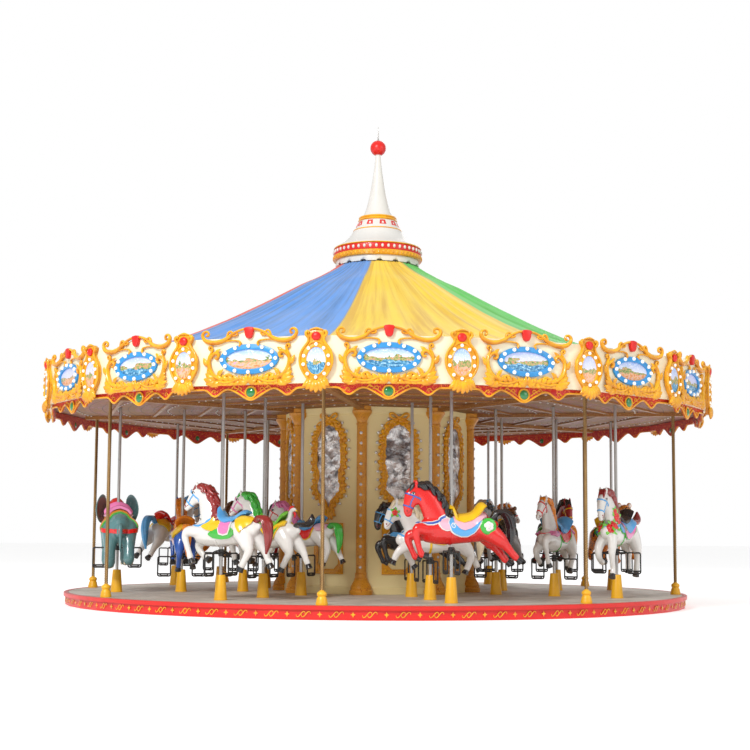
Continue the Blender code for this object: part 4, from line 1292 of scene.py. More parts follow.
horseShapes["proud"] = {"neck": knots("120 60 150, 165 190 142, 212 310 120, 258 410 98, 318 485 78"),
    "head": knots("322 492 76, 390 455 96, 450 390 74, 498 336 56, 530 304 47"),
    "crest": knots("350 555, 265 545, 175 475, 115 385, 70 280, 30 190"),
    "front": legs(0.088,
        "200 20 105, 340 12 74, 450 4 53, 482 -40 45, 458 -140 35, 420 -235 31, 398 -300 35, 365 -370",
        "220 -30 100, 330 -90 72, 395 -145 52, 400 -195 44, 345 -265 34, 295 -305 34, 235 -335"),
    "hind": legs(0.085,
        "-320 30 135, -400 -70 112, -445 -160 74, -462 -215 53, -415 -305 39, -370 -385 36, -335 -455",
        "-340 30 135, -460 -70 106, -530 -150 72, -575 -205 51, -610 -285 39, -640 -345 36, -670 -415"),
    "ear": (0.345, 0.545), "eye": (0.402, 0.485), "nostril": (0.55, 0.325)}
horseShapes["reaching"] = {"neck": knots("140 50 150, 210 170 145, 285 280 125, 355 360 102, 425 420 78"),
    "head": knots("430 425 78, 492 362 98, 540 285 76, 570 225 57, 578 182 48"),
    "crest": knots("460 490, 375 495, 270 445, 185 370, 110 280, 50 190"),
    "front": legs(0.088, "220 0 105, 340 -70 74, 420 -120 53, 465 -160 44, 500 -230 35, 535 -305",
        "200 -10 100, 270 -110 72, 272 -175 52, 245 -235 41, 215 -295 35, 175 -350"),
    "hind": legs(0.085,
        "-320 30 135, -420 -60 112, -490 -140 74, -520 -200 53, -500 -290 39, -470 -360 36, -440 -425",
        "-340 30 135, -460 -60 106, -540 -140 72, -590 -195 51, -635 -270 39, -665 -330 36, -700 -395"),
    "ear": (0.455, 0.485), "eye": (0.505, 0.4), "nostril": (0.61, 0.21)}
horseShapes["standing"] = dict(horseShapes["bowed"], front=legs(0.088,
        "200 20 105, 325 -50 76, 365 -160 57, 385 -250 49, 370 -360 38, 350 -455 34, 360 -500 37, 395 -560",
        "220 -30 100, 340 -110 72, 400 -200 55, 405 -260 48, 330 -350 36, 270 -370 34, 205 -360"),
    hind=legs(0.085, "-340 30 135, -430 -80 112, -500 -190 76, -545 -270 54, -510 -390 40, -485 -490 37, -460 -560",
        "-340 30 135, -470 -80 106, -580 -180 74, -640 -250 52, -640 -370 40, -640 -450 37, -650 -520"))
trunkLine = knots("385 10 85, 320 5 145, 200 0 168, 50 -12 160, -100 -10 148, -240 5 150, -360 30 166, -450 48 128, "
    "-505 62 88, -540 70 45")


def modelled(tubes, voxel, finish):
    # tubes of (side, squash, points) grown together into one smooth shell
    pieces = []
    for side, squash, points in tubes:
        path = [(point[0], side * (point[3] if len(point) > 3 else 1), point[1], point[2]) for point in points]
        pieces.append(bentRod(path, 1, finish, bevel=4, steps=5, squash=squash))
        for x, y, z, radius in (path[0], path[-1]):
            pieces.append(dome((x, y, z), (radius * 0.97, radius * 0.97 * squash, radius * 0.97), finish, 12, 8))
    shell = joined(pieces)
    applied(shell, "REMESH", mode="VOXEL", voxel_size=voxel)
    applied(shell, "SMOOTH", factor=0.5, iterations=9)
    applied(shell, "DECIMATE", ratio=0.21)
    finished(shell, finish, 80)
    skin = bvhtree.BVHTree.FromPolygons([corner.co.copy() for corner in shell.data.vertices],
        [tuple(face.vertices) for face in shell.data.polygons])
    return shell, skin


def horseShell(shape, finish):
    tubes = [(0, 0.8, trunkLine), (0, 0.62, shape["neck"]), (0, 0.62, shape["head"])]
    for side, points, hoof in shape["front"] + shape["hind"]:
        # narrower where it leaves the trunk, fuller at the joints
        leg = []
        for i, (x, z, radius) in enumerate(points):
            share = (0.5, 0.82)[i] if i < 2 else 1
            extra = 0 if i < 2 else 0.009 if i in (2, len(points) - 1) else 0.004
            leg.append((x, z, radius + extra, share))
        tubes.append((side, 0.84, leg))
    # jaw and cheek
    (ax, az, ar), (bx, bz, br) = shape["head"][1], shape["head"][2]
    tubes.append((0, 0.66, ((ax - 0.035, az - 0.045, 0.064), ((ax + bx) / 2 - 0.02, (az + bz) / 2 - 0.03, 0.054),
        (bx - 0.01, bz - 0.03, 0.038))))
    return modelled(tubes, 0.0105, finish)


def wrapped(skin, cut, lift, finish, columns=16, rows=8, rise=None, wide=1):
    # a panel laid round the trunk on both sides, cut in strips "x low high"; "x edge" makes one over the back
    strips = bands(cut)
    both = len(strips[0]) == 3
    if not both:
        strips = [(x, -edge * wide, edge * wide) for x, edge in strips]
    panel = gridOf(columns, rows)
    for corner in panel.data.vertices:
        x = strips[0][0] + (strips[-1][0] - strips[0][0]) * (corner.co.x + 0.5)
        low, high = strips[-1][1:]
        for (xa, lowA, highA), (xb, lowB, highB) in zip(strips, strips[1:]):
            if min(xa, xb) - 1e-6 <= x <= max(xa, xb) + 1e-6:
                share = (x - xa) / (xb - xa)
                low, high = lowA + (lowB - lowA) * share, highA + (highB - highA) * share
                break
        angle = radians(low + (high - low) * (corner.co.y + 0.5))
        middle = Vector((x, 0, 0))
        away = Vector((0, sin(angle), cos(angle)))
        hit = skin.ray_cast(middle + away * 0.6, -away)
        surface = hit[0] if hit[0] else middle + away * 0.14
        extra = lift
        if rise:
            extra += rise(x) * max(0, cos(angle)) ** 1.6
        corner.co = surface + away * extra
    applied(panel, "SOLIDIFY", thickness=lift + 0.006, offset=0)
    sewn(panel, 0.0002)
    finished(panel, finish, 50)
    return joined([panel, twinOf(panel, Matrix.Scale(-1, 4, (0, 1, 0)))]) if both else panel


def ribbon(skin, points, width, lift, finish, sides=(1,)):
    # a flat strap laid on the skin along a path, also on the other side where sides says so
    made = []
    for side in sides:
        path = [Vector((x, side * y, z)) for x, y, z in points]
        dense = []
        for here, there in zip(path, path[1:]):
            dense += [here.lerp(there, i / 6) for i in range(6)]
        dense.append(path[-1])
        strap = gridOf(len(dense) - 1, 2)
        spots = [skin.find_nearest(spot)[:2] for spot in dense]
        for corner in strap.data.vertices:
            step = min(len(dense) - 1, max(0, round((corner.co.x + 0.5) * (len(dense) - 1))))
            spot, normal = spots[step]
            along = (spots[min(step + 1, len(spots) - 1)][0] - spots[max(step - 1, 0)][0]).normalized()
            across = normal.cross(along).normalized()
            near, face, index, away = skin.find_nearest(spot + across * (corner.co.y * width))
            corner.co = near + face * lift
        applied(strap, "SOLIDIFY", thickness=0.006, offset=0)
        sewn(strap, 0.0002)
        made.append(finished(strap, finish, 50))
    return joined(made)


def beadRow(skin, cut, size, finish, count):
    # beads along a panel's lower edge "x edge", on both sides
    strips = bands(cut)
    places = []
    for i in range(count):
        x = strips[0][0] + (strips[-1][0] - strips[0][0]) * (i + 0.5) / count
        edge = strips[-1][1]
        for (xa, edgeA), (xb, edgeB) in zip(strips, strips[1:]):
            if min(xa, xb) <= x <= max(xa, xb):
                edge = edgeA + (edgeB - edgeA) * (x - xa) / (xb - xa)
        for side in (-1, 1):
            angle = radians(edge * side)
            away = Vector((0, sin(angle), cos(angle)))
            hit = skin.ray_cast(Vector((x, 0, 0)) + away * 0.6, -away)[0]
            if hit:
                places.append(moved(hit + away * 0.016))
    return spread(dome((0, 0, 0), (size, size * 0.6, size), finish, 8), places)


def bothSides(paths):
    return paths + [[(point[0], -point[1], *point[2:]) for point in path] for path in paths]


def maneLocks(crest, finish, size, wave, seed):
    draw = random.Random(seed)
    paths = []
    spots = [Vector((x, z)) for x, z in crest]
    count = 11
    for i in range(count):
        place = i / (count - 1) * (len(spots) - 1.001)
        step = int(place)
        here = spots[step].lerp(spots[step + 1], place - step)
        along = (spots[step + 1] - spots[step]).normalized()
        out = Vector((along.y, -along.x))
        for side in (-1, 1, 0):
            path = []
            reach = size * draw.uniform(0.85, 1.15) * (0.8 if i < 2 else 1)
            for k in range(6):
                share = k / 5
                spot = here + along * reach * share + out * (0.034 * sin(pi * min(1, share * 1.2)) - 0.018 - 0.045
                    * share * abs(side))
                swing = wave * sin(share * 2.6 * pi + i)
                y = side * (0.012 + 0.055 * share ** 0.7) + swing * (0.4 if side else 1)
                path.append((spot.x + swing * 0.6, y, spot.y + swing * 0.3, (0.75, 1.1, 1.15, 1, 0.75, 0.25)[k]))
            paths.append(path)
    return rods(paths, 0.029, finish, steps=2)


def foreLock(shape, finish):
    ex, ez = shape["ear"]
    hx, hz, hr = shape["head"][1]
    paths = []
    for side in (-0.022, 0, 0.022):
        paths.append([(ex - 0.03, side * 0.6, ez + 0.015, 0.9), (ex + 0.02, side, ez + 0.02, 1.2),
            (ex + 0.055, side * 1.3, ez - 0.03, 1), (hx + hr * 0.75, side * 1.4, hz, 0.35)])
    return rods(paths, 0.019, finish, steps=3)


def tailOf(points, finish, thick=0.03, strands=6, loose=0.036):
    paths = []
    for i in range(strands):
        turn = 2 * pi * i / strands
        path = []
        for k, (x, z) in enumerate(points):
            share = k / (len(points) - 1)
            wide = loose * sin(pi * min(1, share * 0.85 + 0.12))
            path.append((x + wide * cos(turn + share * 1.5), wide * sin(turn + share * 1.5) * 0.9, z,
                (0.8, 1.1, 1.25, 1.2, 1, 0.3)[min(5, int(share * 5.01))]))
        paths.append(path)
    return rods(paths, thick, finish)


def headDetails(shape, skin):
    pieces = []
    eyeX, eyeZ = shape["eye"]
    noseX, noseZ = shape["nostril"]
    lids = []
    for side in (-1, 1):
        spot, normal, index, away = skin.find_nearest(Vector((eyeX, side * 0.12, eyeZ)))
        x, y, z = spot
        pieces.append(dome((x, y + side * 0.001, z), (0.021, 0.009, 0.016), "white", 12, 8))
        pieces.append(dome((x + 0.003, y + side * 0.007, z), (0.012, 0.006, 0.012), plainBlack))
        lids.append([(x - 0.026, y, z - 0.004, 0.6), (x - 0.006, y + side * 0.008, z + 0.017, 1),
            (x + 0.024, y + side * 0.001, z + 0.006, 0.5)])
        near, face, index, away = skin.find_nearest(Vector((noseX - 0.008, side * 0.05, noseZ)))
        pieces.append(dome(tuple(near), (0.01, 0.005, 0.013), "maroon", 8))
    pieces.append(rods(lids, 0.005, plainBlack, steps=3))
    (ax, az, ar), (bx, bz, br) = shape["head"][3], shape["head"][4]
    mouth = [(bx + 0.5 * br, 0.05, bz - 0.2 * br), (bx - 0.2 * br, 0.06, bz + 0.15 * br),
        (ax - 0.8 * ar, 0.05, az + 0.2 * ar)]
    pieces.append(ribbon(skin, mouth, 0.005, 0.001, "maroon", (-1, 1)))
    return pieces


def earsOf(shape, finish):
    ex, ez = shape["ear"]
    paths = bothSides([[(ex, 0.03, ez - 0.03, 0.9), (ex + 0.002, 0.036, ez + 0.005, 1.25),
        (ex + 0.004, 0.04, ez + 0.035, 1), (ex + 0.01, 0.04, ez + 0.066, 0.15)]])
    return rods(paths, 0.019, finish, bevel=2, steps=3)


def hoovesOf(shape, finish):
    paths = []
    for side, points, hoof in shape["front"] + shape["hind"]:
        x, z, radius = points[-1]
        hx, hz = hoof
        paths.append([(x + (hx - x) * 0.25, side, z + (hz - z) * 0.25, 0.034),
            (x + (hx - x) * 0.6, side, z + (hz - z) * 0.6, 0.041), (hx, side, hz, 0.047)])
    return rods(paths, 1, finish, bevel=3, steps=2, smooth=45)


def rose(skin, spot, size, finish):
    # petals round a bud with leaves behind, lying on the skin
    near, normal, index, away = skin.find_nearest(Vector(spot))
    petals = [dome((size * 0.55 * cos(turn), 0, size * 0.55 * sin(turn)), (size * 0.62, size * 0.3, size * 0.62),
        finish, 8) for turn in (0.3, 1.55, 2.8, 4.1, 5.3)]
    petals.append(dome((0, size * 0.18, 0), (size * 0.5, size * 0.3, size * 0.5), finish, 8))
    leaf = leafShape("leafGreen", width=0.55)
    for lean in (0.6, 1.7, 2.8, 3.9, 5.4):
        petals.append(laid(leaf, 0.6 * size * cos(lean), 0, 0.6 * size * sin(lean), size * 1.5, lean))
    removed([leaf])
    facing = moved(near + normal * 0.006) @ normal.to_track_quat("Y", "Z").to_matrix().to_4x4()
    for petal in petals:
        petal.data.transform(facing)
    return petals


def seatRise(pommel, cantle):
    def rise(x):
        front = pommel * exp(-((x - 0.005) / 0.03) ** 2)
        back = cantle * exp(-((x + 0.375) / 0.075) ** 2)
        return 0.022 + front + back
    return rise


# panels of each style: part of the look, lift off the skin, cut
panels = {"swept": (("rim", 0.006, "200 58 62, 160 38 86, 100 26 96, 20 22 92, -30 30 60"),
    ("flap", 0.01, "180 58 64, 150 42 82, 100 34 90, 30 30 86, -10 36 56"),
    ("rim", 0.011, "75 52 58, 55 28 96, 10 16 112, -80 14 126, -160 16 126, -240 20 108, -300 26 78, -345 32 46"),
    ("cloth", 0.016, "62 52 58, 45 34 90, 5 22 106, -80 18 120, -160 20 120, -240 26 102, -290 34 72, -325 42 50"),
    ("flap", 0.02, "0 10 52, -60 8 84, -120 8 92, -200 8 82, -280 8 62, -350 8 46, -400 8 34")),
    "flaps": (("blanket", 0.012, "200 58 66, 130 40 78, 50 16 84, -60 6 60"),
    ("cloth", 0.008, "100 96 102, 40 74 118, -80 60 126, -200 60 122, -280 80 100"),
    ("rim", 0.012, "-30 34 74, -50 24 100, -120 20 106, -190 24 100, -210 34 74"),
    ("flap", 0.017, "-45 36 70, -60 30 92, -120 26 98, -180 30 92, -195 36 70"),
    ("blanket", 0.017, "-280 24 36, -330 14 70, -380 10 92, -430 8 66, -490 8 34")),
    "collar": (("flap", 0.01, "360 40 60, 300 34 66, 200 44 74, 100 40 66, 40 30 52"),
    ("rim", 0.008, "60 20 40, 30 14 92, -60 12 112, -160 12 116, -240 14 98, -300 16 50"),
    ("cloth", 0.013, "45 22 38, 20 18 84, -60 16 104, -160 16 108, -230 18 90, -280 20 48"),
    ("flap", 0.015, "-300 20 44, -360 14 62, -420 12 58, -480 14 34"))}


def dressHorse(look, skin, shape):
    rim, bridle = look["rim"], look["bridle"]
    pieces = [wrapped(skin, cut, lift, look[part]) for part, lift, cut in panels[look["style"]]]
    if look["style"] == "swept":
        pieces.append(beadRow(skin, "0 50, -60 82, -120 90, -200 80, -280 60, -350 45, -400 33", 0.011, rim, 15))
        curl = [(0.008 - 0.044 * (1 - i / 14) * cos(i * 0.75), 0.16, 0.055 + 0.044 * (1 - i / 14) * sin(i * 0.75))
            for i in range(13)]
        pieces.append(ribbon(skin, curl, 0.009, 0.026, rim, (-1, 1)))
    rise = seatRise(look.get("pommel", 0.06), look.get("cantle", 0.09))
    pieces.append(wrapped(skin, "30 14, 0 40, -50 58, -120 68, -200 60, -280 46, -350 36, -400 24", 0.022,
        look["seat"], 26, 16, rise, look.get("seatWide", 0.82)))
    # bridle, breast band and girth
    (ax, az, ar), (bx, bz, br), (cx, cz, cr) = shape["head"][1:4]
    dx, dz = cx - ax, cz - az
    size = hypot(dx, dz)
    nx, nz = -dz / size, dx / size
    for share, reach, wide in ((0.86, cr + 0.012, 0.016), (0.02, ar + 0.01, 0.016)):
        ring = [(ax + dx * share + nx * reach * cos(turn), 0.75 * reach * sin(turn),
            az + dz * share + nz * reach * cos(turn)) for turn in evenly(8) + [2 * pi]]
        pieces.append(ribbon(skin, ring, wide, 0.003, bridle))
    cheek = [(ax, 0.1, az), (ax + dx * 0.5 + nx * 0.01, 0.1, az + dz * 0.5 + nz * 0.01),
        (ax + dx * 0.86, 0.08, az + dz * 0.86)]
    breast = knots("85 120 165, 170 140 125, 260 130 85, 350 70 50, 400 0 45")
    girth = knots("20 160 0, 20 110 -120, 20 0 -180, 20 -110 -120, 20 -160 0")
    return pieces + [ribbon(skin, cheek, 0.014, 0.003, bridle, (-1, 1)),
        ribbon(skin, breast, 0.052, 0.005, "white", (-1, 1)), ribbon(skin, breast, 0.026, 0.009, bridle, (-1, 1)),
        ribbon(skin, girth, 0.03, 0.004, look.get("girth", rim))]


def medallion(skin, x, z, size, rim, shell):
    pieces = []
    for side in (-1, 1):
        hit = skin.ray_cast(Vector((x, side * 0.5, z)), Vector((0, -side, 0)))[0]
        y = hit.y - side * 0.004
        pieces.append(dome((x, y, z), (size, 0.022, size), rim, 24, 8))
        for turn in (0.4, 1.5, 2.6, 3.7, 4.8):
            pieces.append(dome((x + size * 0.3 * cos(turn), y + side * 0.017, z + size * 0.3 * sin(turn)),
                (size * 0.34, 0.01, size * 0.3), shell))
        pieces.append(dome((x, y + side * 0.024, z), (size * 0.26, 0.01, size * 0.3), shell))
    return pieces


shells = {}


def makeHorse(look):
    shape = horseShapes[look["shape"]]
    if look["shape"] not in shells:
        shells[look["shape"]] = horseShell(shape, look["body"])
    plain, skin = shells[look["shape"]]
    shell = twinOf(plain, Matrix())
    shell.data.materials[0] = paint(look["body"])
    pieces = [shell] + dressHorse(look, skin, shape)
    pieces += [maneLocks(shape["crest"], look["mane"], look.get("maneSize", 0.13), look.get("wave", 0), look["seed"]),
        foreLock(shape, look["mane"]), tailOf(look.get("tailPath", hangingTail), look["tail"],
        look.get("tailThick", 0.03)), earsOf(shape, look["body"]), hoovesOf(shape, "black")]
    pieces += headDetails(shape, skin)
    if "medallion" in look:
        pieces += medallion(skin, -0.405, 0.045, 0.1, look["medallion"], "white")
    flowers = []
    if "roses" in look:
        flowers = [((0.38, 0.07, 0.06), 0.056), ((0.31, 0.13, 0.13), 0.058), ((0.23, 0.14, 0.2), 0.054),
            ((0.27, 0.13, 0.27), 0.036), ((0.15, 0.16, 0.14), 0.042)]
    if "cheekFlower" in look:
        flowers = [((shape["head"][1][0], 0.2, shape["head"][1][1]), 0.036)]
    for (x, y, z), size in flowers:
        for side in (-1, 1):
            pieces += rose(skin, (x, side * y, z), size, "red")
    if "birdCantle" in look:
        bird = [rods([knots("-370 0 160 1500, -410 0 240 1200, -430 0 310 1000, -470 0 345 900, -510 0 335 500")],
            0.032, "white", bevel=3, steps=5),
            rods([[(-0.4, 0, 0.325, 0.6), (-0.43, 0, 0.37, 1.2), (-0.47, 0, 0.385, 0.8)],
            [(-0.485, 0, 0.31, 1), (-0.495, 0, 0.27, 0.9), (-0.49, 0, 0.24, 0.4)]], 0.016, "red", bevel=2),
            rods([[(-0.5, 0, 0.335, 1), (-0.535, 0, 0.325, 0.2)]], 0.014, "yellow", bevel=2)]
        pieces += bird
    return joined(pieces)


hangingTail = knots("-490 120, -560 175, -635 150, -675 40, -680 -100, -655 -250")
archedTail = knots("-500 140, -585 215, -675 195, -730 80, -735 -80, -705 -260")
raisedTail = knots("-490 120, -560 150, -640 145, -710 160, -755 210, -760 285")


def makeElephant():
    tubes = [(0, 0.86,
        knots("360 60 130, 260 40 195, 100 20 225, -80 15 225, -260 10 215, -400 -10 165, -470 -30 90")),
        (0, 0.82, knots("330 160 130, 420 240 150, 500 240 125, 550 180 90")),
        (0, 0.95, knots("540 200 85, 600 120 66, 630 0 54, 640 -100 46, 680 -170 40, 735 -175 34")),
        (0.12, 0.95, knots("240 0 110, 290 -160 88, 310 -270 76, 300 -400 80")),
        (-0.12, 0.95, knots("220 0 110, 200 -160 88, 170 -270 76, 130 -380 80")),
        (0.12, 0.95, knots("-280 0 130, -330 -150 98, -330 -270 80, -300 -410 82")),
        (-0.12, 0.95, knots("-300 0 130, -380 -140 98, -430 -250 80, -470 -370 80"))]
    shell, skin = modelled(tubes, 0.012, "teal")
    pieces = [shell]
    for side in (-1, 1):
        nothingSelected()
        bpy.ops.mesh.primitive_uv_sphere_add(segments=24, ring_count=14, radius=1, location=(0.34, side * 0.21, 0.26),
            rotation=(0, 0.25, side * -0.5))
        ear = bpy.context.object
        ear.scale = (0.165, 0.02, 0.185)
        finished(ear, "teal", 60)
        for corner in ear.data.vertices:
            reach = hypot(corner.co.x - 0.35, corner.co.z - 0.25)
            corner.co.y += side * 0.05 * sin(reach * 22) * 0.35
        pieces.append(ear)
        pieces.append(rods([[(0.53, side * 0.075, 0.16, 1), (0.6, side * 0.095, 0.1, 0.8),
            (0.66, side * 0.09, 0.115, 0.2)]], 0.022, "cream", bevel=2, steps=5))
        pieces.append(dome((0.52, side * 0.098, 0.27), (0.017, 0.01, 0.015), "white", 12, 8))
        pieces.append(dome((0.526, side * 0.104, 0.27), (0.009, 0.007, 0.01), plainBlack))
    for x, side, z in ((0.3, 0.12, -0.4), (0.13, -0.12, -0.38), (-0.3, 0.12, -0.41), (-0.47, -0.12, -0.37)):
        for turn in (-0.7, 0, 0.7):
            pieces.append(dome((x + 0.072 * cos(turn), side + 0.07 * sin(turn), z - 0.045), (0.018, 0.018, 0.022),
                "cream", 8))
    pieces.append(wrapped(skin, "240 70, 180 104, 0 116, -200 110, -340 84", 0.008, "green", 24, 24))
    pieces.append(wrapped(skin, "215 64, 165 98, 0 110, -190 104, -315 78", 0.014, "orange", 24, 24))
    pieces.append(wrapped(skin, "50 22, 0 40, -80 50, -180 46, -300 38", 0.024, "pink", 24, 14, seatRise(0.05, 0.03)))
    belt = knots("-250 250 0, -380 220 -20, -460 120 -30, -500 0 -30, -460 -120 -30, -380 -220 -20, -250 -250 0")
    pieces.append(ribbon(skin, belt, 0.05, 0.008, "red"))
    pieces.append(tailOf(knots("-470 60, -530 50, -560 -40, -565 -140, -560 -220, -550 -280"), "teal",
        0.012, 3, 0.01))
    pieces.append(wrapped(skin, "500 26, 440 50, 360 52, 300 30", 0.012, "red", 14, 14))
    whole = joined(pieces)
    whole.data.transform(Matrix.Scale(1.08, 4, (0, 0, 1)))
    return whole


def catHead(x, z, size, furPaint):
    # ears with their insides, eyes, pupils and cheeks on each side, then the nose, in thousandths of the size
    parts = ((-20, 75, 85, 22, 36, 40, furPaint, 14, 10), (-6, 75, 85, 14, 24, 28, "white", 12, 8),
        (75, 44, 32, 14, 16, 14, "yellow", 12, 8), (86, 45, 32, 7, 7, 9, plainBlack, 8, 6),
        (100, 26, -40, 36, 32, 26, "white", 12, 8))
    size /= 1000
    pieces = []
    for side in (-1, 1):
        for dx, dy, dz, long, wide, high, finish, sides, rounds in parts:
            pieces.append(dome((x + dx * size, side * dy * size, z + dz * size),
                (long * size, wide * size, high * size), finish, sides, rounds))
    return pieces + [dome((x + 137 * size, 0, z - 22 * size), (14 * size, 18 * size, 12 * size), plainBlack)]


def pawLegs(pairs, wide):
    return [(side * wide, 0.9, points) for side, points in pairs]


def makeTiger():
    tubes = [(0, 0.8, knots("340 30 110, 260 30 150, 100 0 150, -80 -5 140, -260 20 150, -380 20 140, -470 10 80")),
        (0, 0.8, ((0.28, 0.12, 0.115), (0.36, 0.24, 0.1), (0.42, 0.34, 0.095))),
        (0, 1, knots("420 360 105, 470 360 108, 530 340 80, 565 325 55"))]
    front = [(1, knots("260 0 100, 380 -60 66, 460 -140 50, 500 -240 42, 545 -290 45, 585 -295 36")),
        (-1, knots("240 0 100, 340 -100 66, 380 -200 50, 370 -290 42, 400 -345 45, 440 -350 36"))]
    hind = [(1, knots("-330 10 130, -420 -90 95, -480 -190 60, -500 -270 45, -470 -345 44, -430 -350 36")),
        (-1, knots("-340 10 130, -460 -80 95, -550 -160 60, -600 -240 45, -600 -315 44, -560 -325 36"))]
    shell, skin = modelled(tubes + pawLegs(front + hind, 0.088), 0.012, stripedFur)
    pieces = [shell] + catHead(0.47, 0.36, 1.05, stripedFur)
    pieces.append(tailOf(knots("-470 60, -550 120, -620 100, -670 20, -690 -80, -660 -160"), stripedFur,
        0.026, 3, 0.01))
    for side in (-1, 1):
        for turn in (-0.9, -0.4, 0.1):
            pieces.append(dome((0.44 + 0.02 * turn, side * 0.098, 0.32 + 0.05 * turn), (0.04, 0.022, 0.035), "white"))
    pieces.append(wrapped(skin, "100 50, 40 92, -100 104, -220 92, -300 50", 0.008, "green", 22, 20))
    pieces.append(wrapped(skin, "85 44, 30 84, -100 97, -210 84, -280 44", 0.013, "skyBlue", 22, 20))
    pieces.append(wrapped(skin, "50 20, 0 44, -100 58, -220 48, -360 26", 0.022, "yellow", 24, 16,
        seatRise(0.06, 0.1)))
    return joined(pieces)


def makeBear():
    tubes = [(0, 0.85, knots("330 30 120, 250 20 165, 80 10 175, -100 0 175, -270 10 175, -400 0 145, -470 -10 80")),
        (0, 0.82, ((0.28, 0.12, 0.13), (0.36, 0.24, 0.115), (0.42, 0.33, 0.105))),
        (0, 0.9, knots("400 360 105, 460 360 105, 540 345 68, 610 345 44")),
        (0, 0.9, ((0.47, 0.3, 0.06), (0.53, 0.265, 0.036), (0.58, 0.255, 0.026)))]
    front = [(1, knots("250 0 110, 360 -90 78, 400 -190 60, 400 -300 54, 440 -345 52, 480 -350 40")),
        (-1, knots("240 0 110, 300 -120 78, 290 -220 60, 260 -310 54, 290 -360 52, 330 -365 40"))]
    hind = [(1, knots("-310 0 140, -390 -110 100, -430 -220 68, -450 -310 58, -420 -360 52, -370 -370 42")),
        (-1, knots("-330 0 140, -440 -100 100, -510 -190 68, -560 -270 58, -540 -325 52, -490 -335 42"))]
    shell, skin = modelled(tubes + pawLegs(front + hind, 0.092), 0.012, "brown")
    pieces = [shell]
    for side in (-1, 1):
        pieces.append(dome((0.41, side * 0.085, 0.455), (0.02, 0.036, 0.038), "brown", 12, 8))
        pieces.append(dome((0.515, side * 0.058, 0.395), (0.01, 0.01, 0.012), plainBlack))
    pieces.append(dome((0.652, 0, 0.352), (0.016, 0.026, 0.018), plainBlack, 12, 8))
    pieces.append(dome((0.545, 0, 0.293), (0.05, 0.026, 0.012), "red", 12, 8))
    pieces.append(wrapped(skin, "120 60, 40 96, -100 108, -220 96, -300 60", 0.008, "red", 22, 20))
    pieces.append(wrapped(skin, "60 24, 0 50, -100 62, -220 52, -360 28", 0.022, "yellow", 24, 16,
        seatRise(0.06, 0.08)))
    return joined(pieces)


def makeFootrest():
    # cross bar with a clamp on the pole, and a rounded frame with a double tread on each side
    rest = {"bar": -0.25, "inner": 0.148, "outer": 0.322, "low": -0.512, "thick": 0.0098}
    top, low, inner, outer = rest["bar"], rest["low"], rest["inner"], rest["outer"]
    paths = []
    for side in (-1, 1):
        loop = []
        corner = 0.022
        spots = ((inner, top), (outer, top), (outer, low), (inner, low))
        for (y, z), (beforeY, beforeZ), (afterY, afterZ) in zip(spots, spots[-1:] + spots[:-1],
                spots[1:] + spots[:1]):
            before = Vector((beforeY - y, beforeZ - z)).normalized() * corner
            after = Vector((afterY - y, afterZ - z)).normalized() * corner
            loop += [(0, side * (y + before.x * 3), z + before.y * 3), (0, side * (y + before.x), z + before.y),
                (0, side * (y + (before.x + after.x) * 0.29), z + (before.y + after.y) * 0.29),
                (0, side * (y + after.x), z + after.y), (0, side * (y + after.x * 3), z + after.y * 3)]
        paths.append(loop)
    loops = rods(paths, rest["thick"], plainBlack, bevel=2, steps=2, closed=True)
    bars = rods([[(0, -inner, top), (0, 0, top), (0, inner, top)], [(0, inner, low + 0.03), (0, outer, low + 0.03)],
        [(0, -outer, low + 0.03), (0, -inner, low + 0.03)],
        [(0, 0, top + 0.03), (0, 0.07, top + 0.03), (0, inner - 0.01, top + 0.004)], [(0, 0, top + 0.03),
        (0, -0.07, top + 0.03), (0, -inner + 0.01, top + 0.004)]], 0.0098, plainBlack, bevel=2, steps=2)
    clamp = turnedPiece(((0.03, top - 0.034), (0.034, top - 0.03), (0.034, top - 0.008), (0.026, top - 0.004),
        (0.026, top + 0.012), (0.036, top + 0.016), (0.036, top + 0.048), (0.03, top + 0.052), (0, top + 0.052)), 20,
        plainBlack, smooth=30)
    treads = []
    for side in (-1, 1):
        for y in (0.185, 0.285):
            treads.append(dome((0, side * y, low + 0.017), (0.014, 0.012, 0.008), darkSteel))
        tread = cutPlate([((side * 0.235 - 0.045, low + 0.008), (side * 0.235 + 0.045, low + 0.008),
            (side * 0.235 + 0.045, low + 0.016), (side * 0.235 - 0.045, low + 0.016))], -0.014, 0.028,
            darkSteel, 0.002)
        treads.append(twinOf(tread, about(pi / 2)))
        removed([tread])
    bolts = [dome((x, y, top + 0.032), 0.007, darkSteel, 8) for x, y in ((0.036, 0), (-0.036, 0))]
    return joined([loops, bars, clamp] + treads + bolts)


def stripedMaterial(name):
    made = paintFinish(name, (0.9, 0.3, 0.03), (0.7, 0.16, 0.01), 5, 0.5, 0.28, **gloss)
    tree = made.node_tree
    wave = noiseNode(tree, nodeOf(tree, "ShaderNodeTexCoord").outputs["Object"], 6.5, 2, 0.5, 1)
    stripes = calc(tree, "PINGPONG", times(tree, wave, 9), 0.5)
    return overPaint(made, calc(tree, "LESS_THAN", stripes, 0.1), (0.03, 0.015, 0.01))


stripedFur = stripedMaterial("stripedFur")

looks = {}


def addLook(place, words, **more):
    # words in this order, and what only some horses have
    parts = "shape body mane tail style cloth rim flap seat bridle".split()
    looks[place] = dict(zip(parts, words.split()), **more)


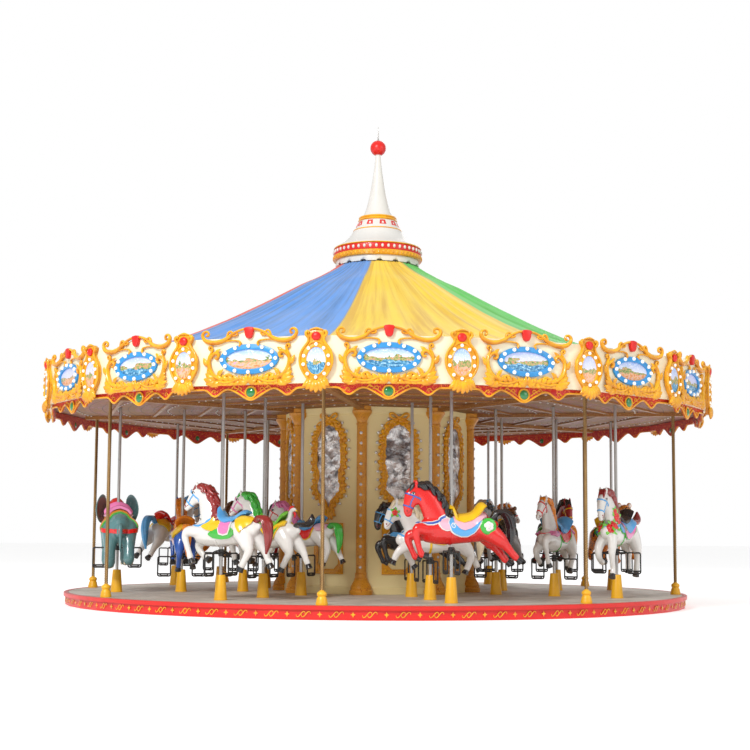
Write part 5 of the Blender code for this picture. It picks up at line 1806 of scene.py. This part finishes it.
addLook("outer_1", "bowed red black black swept skyBlue white palePink yellow blue", medallion="green", pommel=0.1,
    cantle=0.095, tailPath=archedTail, girth="red", maneSize=0.12)
addLook("mid_1", "reaching white cream cream collar skyBlue yellow pink yellow skyBlue", cheekFlower="red")
addLook("inner_1", "bowed black black black collar yellow red skyBlue red skyBlue")
addLook("outer_2", "standing white maroon maroon swept pink green skyBlue black skyBlue", roses="red", wave=0.012,
    tailPath=raisedTail, seatWide=0.6, pommel=0.03, cantle=0.085)
addLook("mid_2", "proud white orange orange collar red green pink skyBlue red", maneSize=0.15)
addLook("inner_2", "bowed grey black black collar maroon yellow blue black red")
addLook("mid_3", "bowed darkRed black black flaps blue yellow red skyBlue yellow", blanket="green", wave=0.01)
addLook("outer_4", "proud white orange orange flaps purple yellow skyBlue red red", blanket="green", wave=0.012)
addLook("mid_4", "reaching skyBlue white white swept yellow white pink red yellow", medallion="red")
addLook("inner_4", "proud brown black black collar green yellow red yellow yellow")
addLook("outer_5", "bowed cream brown brown swept green white red skyBlue red", medallion="skyBlue",
    tailPath=archedTail)
addLook("mid_5", "proud black red red flaps skyBlue white yellow red yellow", blanket="pink", wave=0.012)
addLook("inner_5", "reaching white purple purple collar skyBlue yellow red yellow blue")
addLook("mid_7", "proud blue orange orange flaps red yellow skyBlue orange yellow", blanket="yellow", wave=0.01)
addLook("mid_6", "bowed orange brown brown swept blue white yellow green blue", medallion="blue")
addLook("inner_6", "proud darkRed black black collar blue yellow skyBlue yellow yellow")
addLook("outer_6", "bowed white skyBlue skyBlue flaps pink white palePink red skyBlue", blanket="yellow",
    tailPath=archedTail)
addLook("inner_7", "proud white brown brown collar green red yellow brown brown", wave=0.01)
addLook("outer_8", "proud white maroon maroon flaps green white pink skyBlue skyBlue", blanket="yellow", wave=0.016,
    maneSize=0.17, pommel=0.07, cantle=0.03, seatWide=0.62)
addLook("mid_8", "proud white green black swept green yellow yellow leafGreen pink", tailPath=raisedTail,
    tailThick=0.027, maneSize=0.15, birdCantle="yes")
addLook("inner_8", "reaching white pink green collar red yellow palePink skyBlue red")


def makeAnimals():
    pole = {"radius": 0.02, "low": -0.745, "high": 2.015}
    odd = {"outer_7": ("elephant", makeElephant), "outer_3": ("tiger", makeTiger), "inner_3": ("bear", makeBear)}
    rest = makeFootrest()
    steel = turnedPiece(((pole["radius"], pole["low"]), (pole["radius"], pole["high"]), (0, pole["high"])), 20,
        poleSteel, smooth=30)
    for ring, (reach, size) in rings.items():
        for row in range(1, 9):
            body = f"{ring}_{row}"
            kind, maker = odd.get(body, ("horse", None))
            node = f"{kind}_{body}"
            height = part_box(node)[1].z - pole["high"]
            bay = (row - 1) * bayStep
            place = moved(at(reach, bay, height)) @ about(bay + pi)
            if maker:
                animal = maker()
            else:
                animal = makeHorse(dict(looks[body], seed=row * 3 + len(ring)))
            named(twinOf(animal, place @ Matrix.Scale(size, 4)), f"{node}_shell", "animal_shell", node, body=body)
            removed([animal])
            named(twinOf(rest, place), f"{node}_footrest", "dark_frame", body=body)
            named(twinOf(steel, place), f"{node}_pole", "pole_steel", body=body)
            print("animal:", node)
    removed([rest, steel] + [plain for plain, skin in shells.values()])


makeAnimals()
print("animals done")
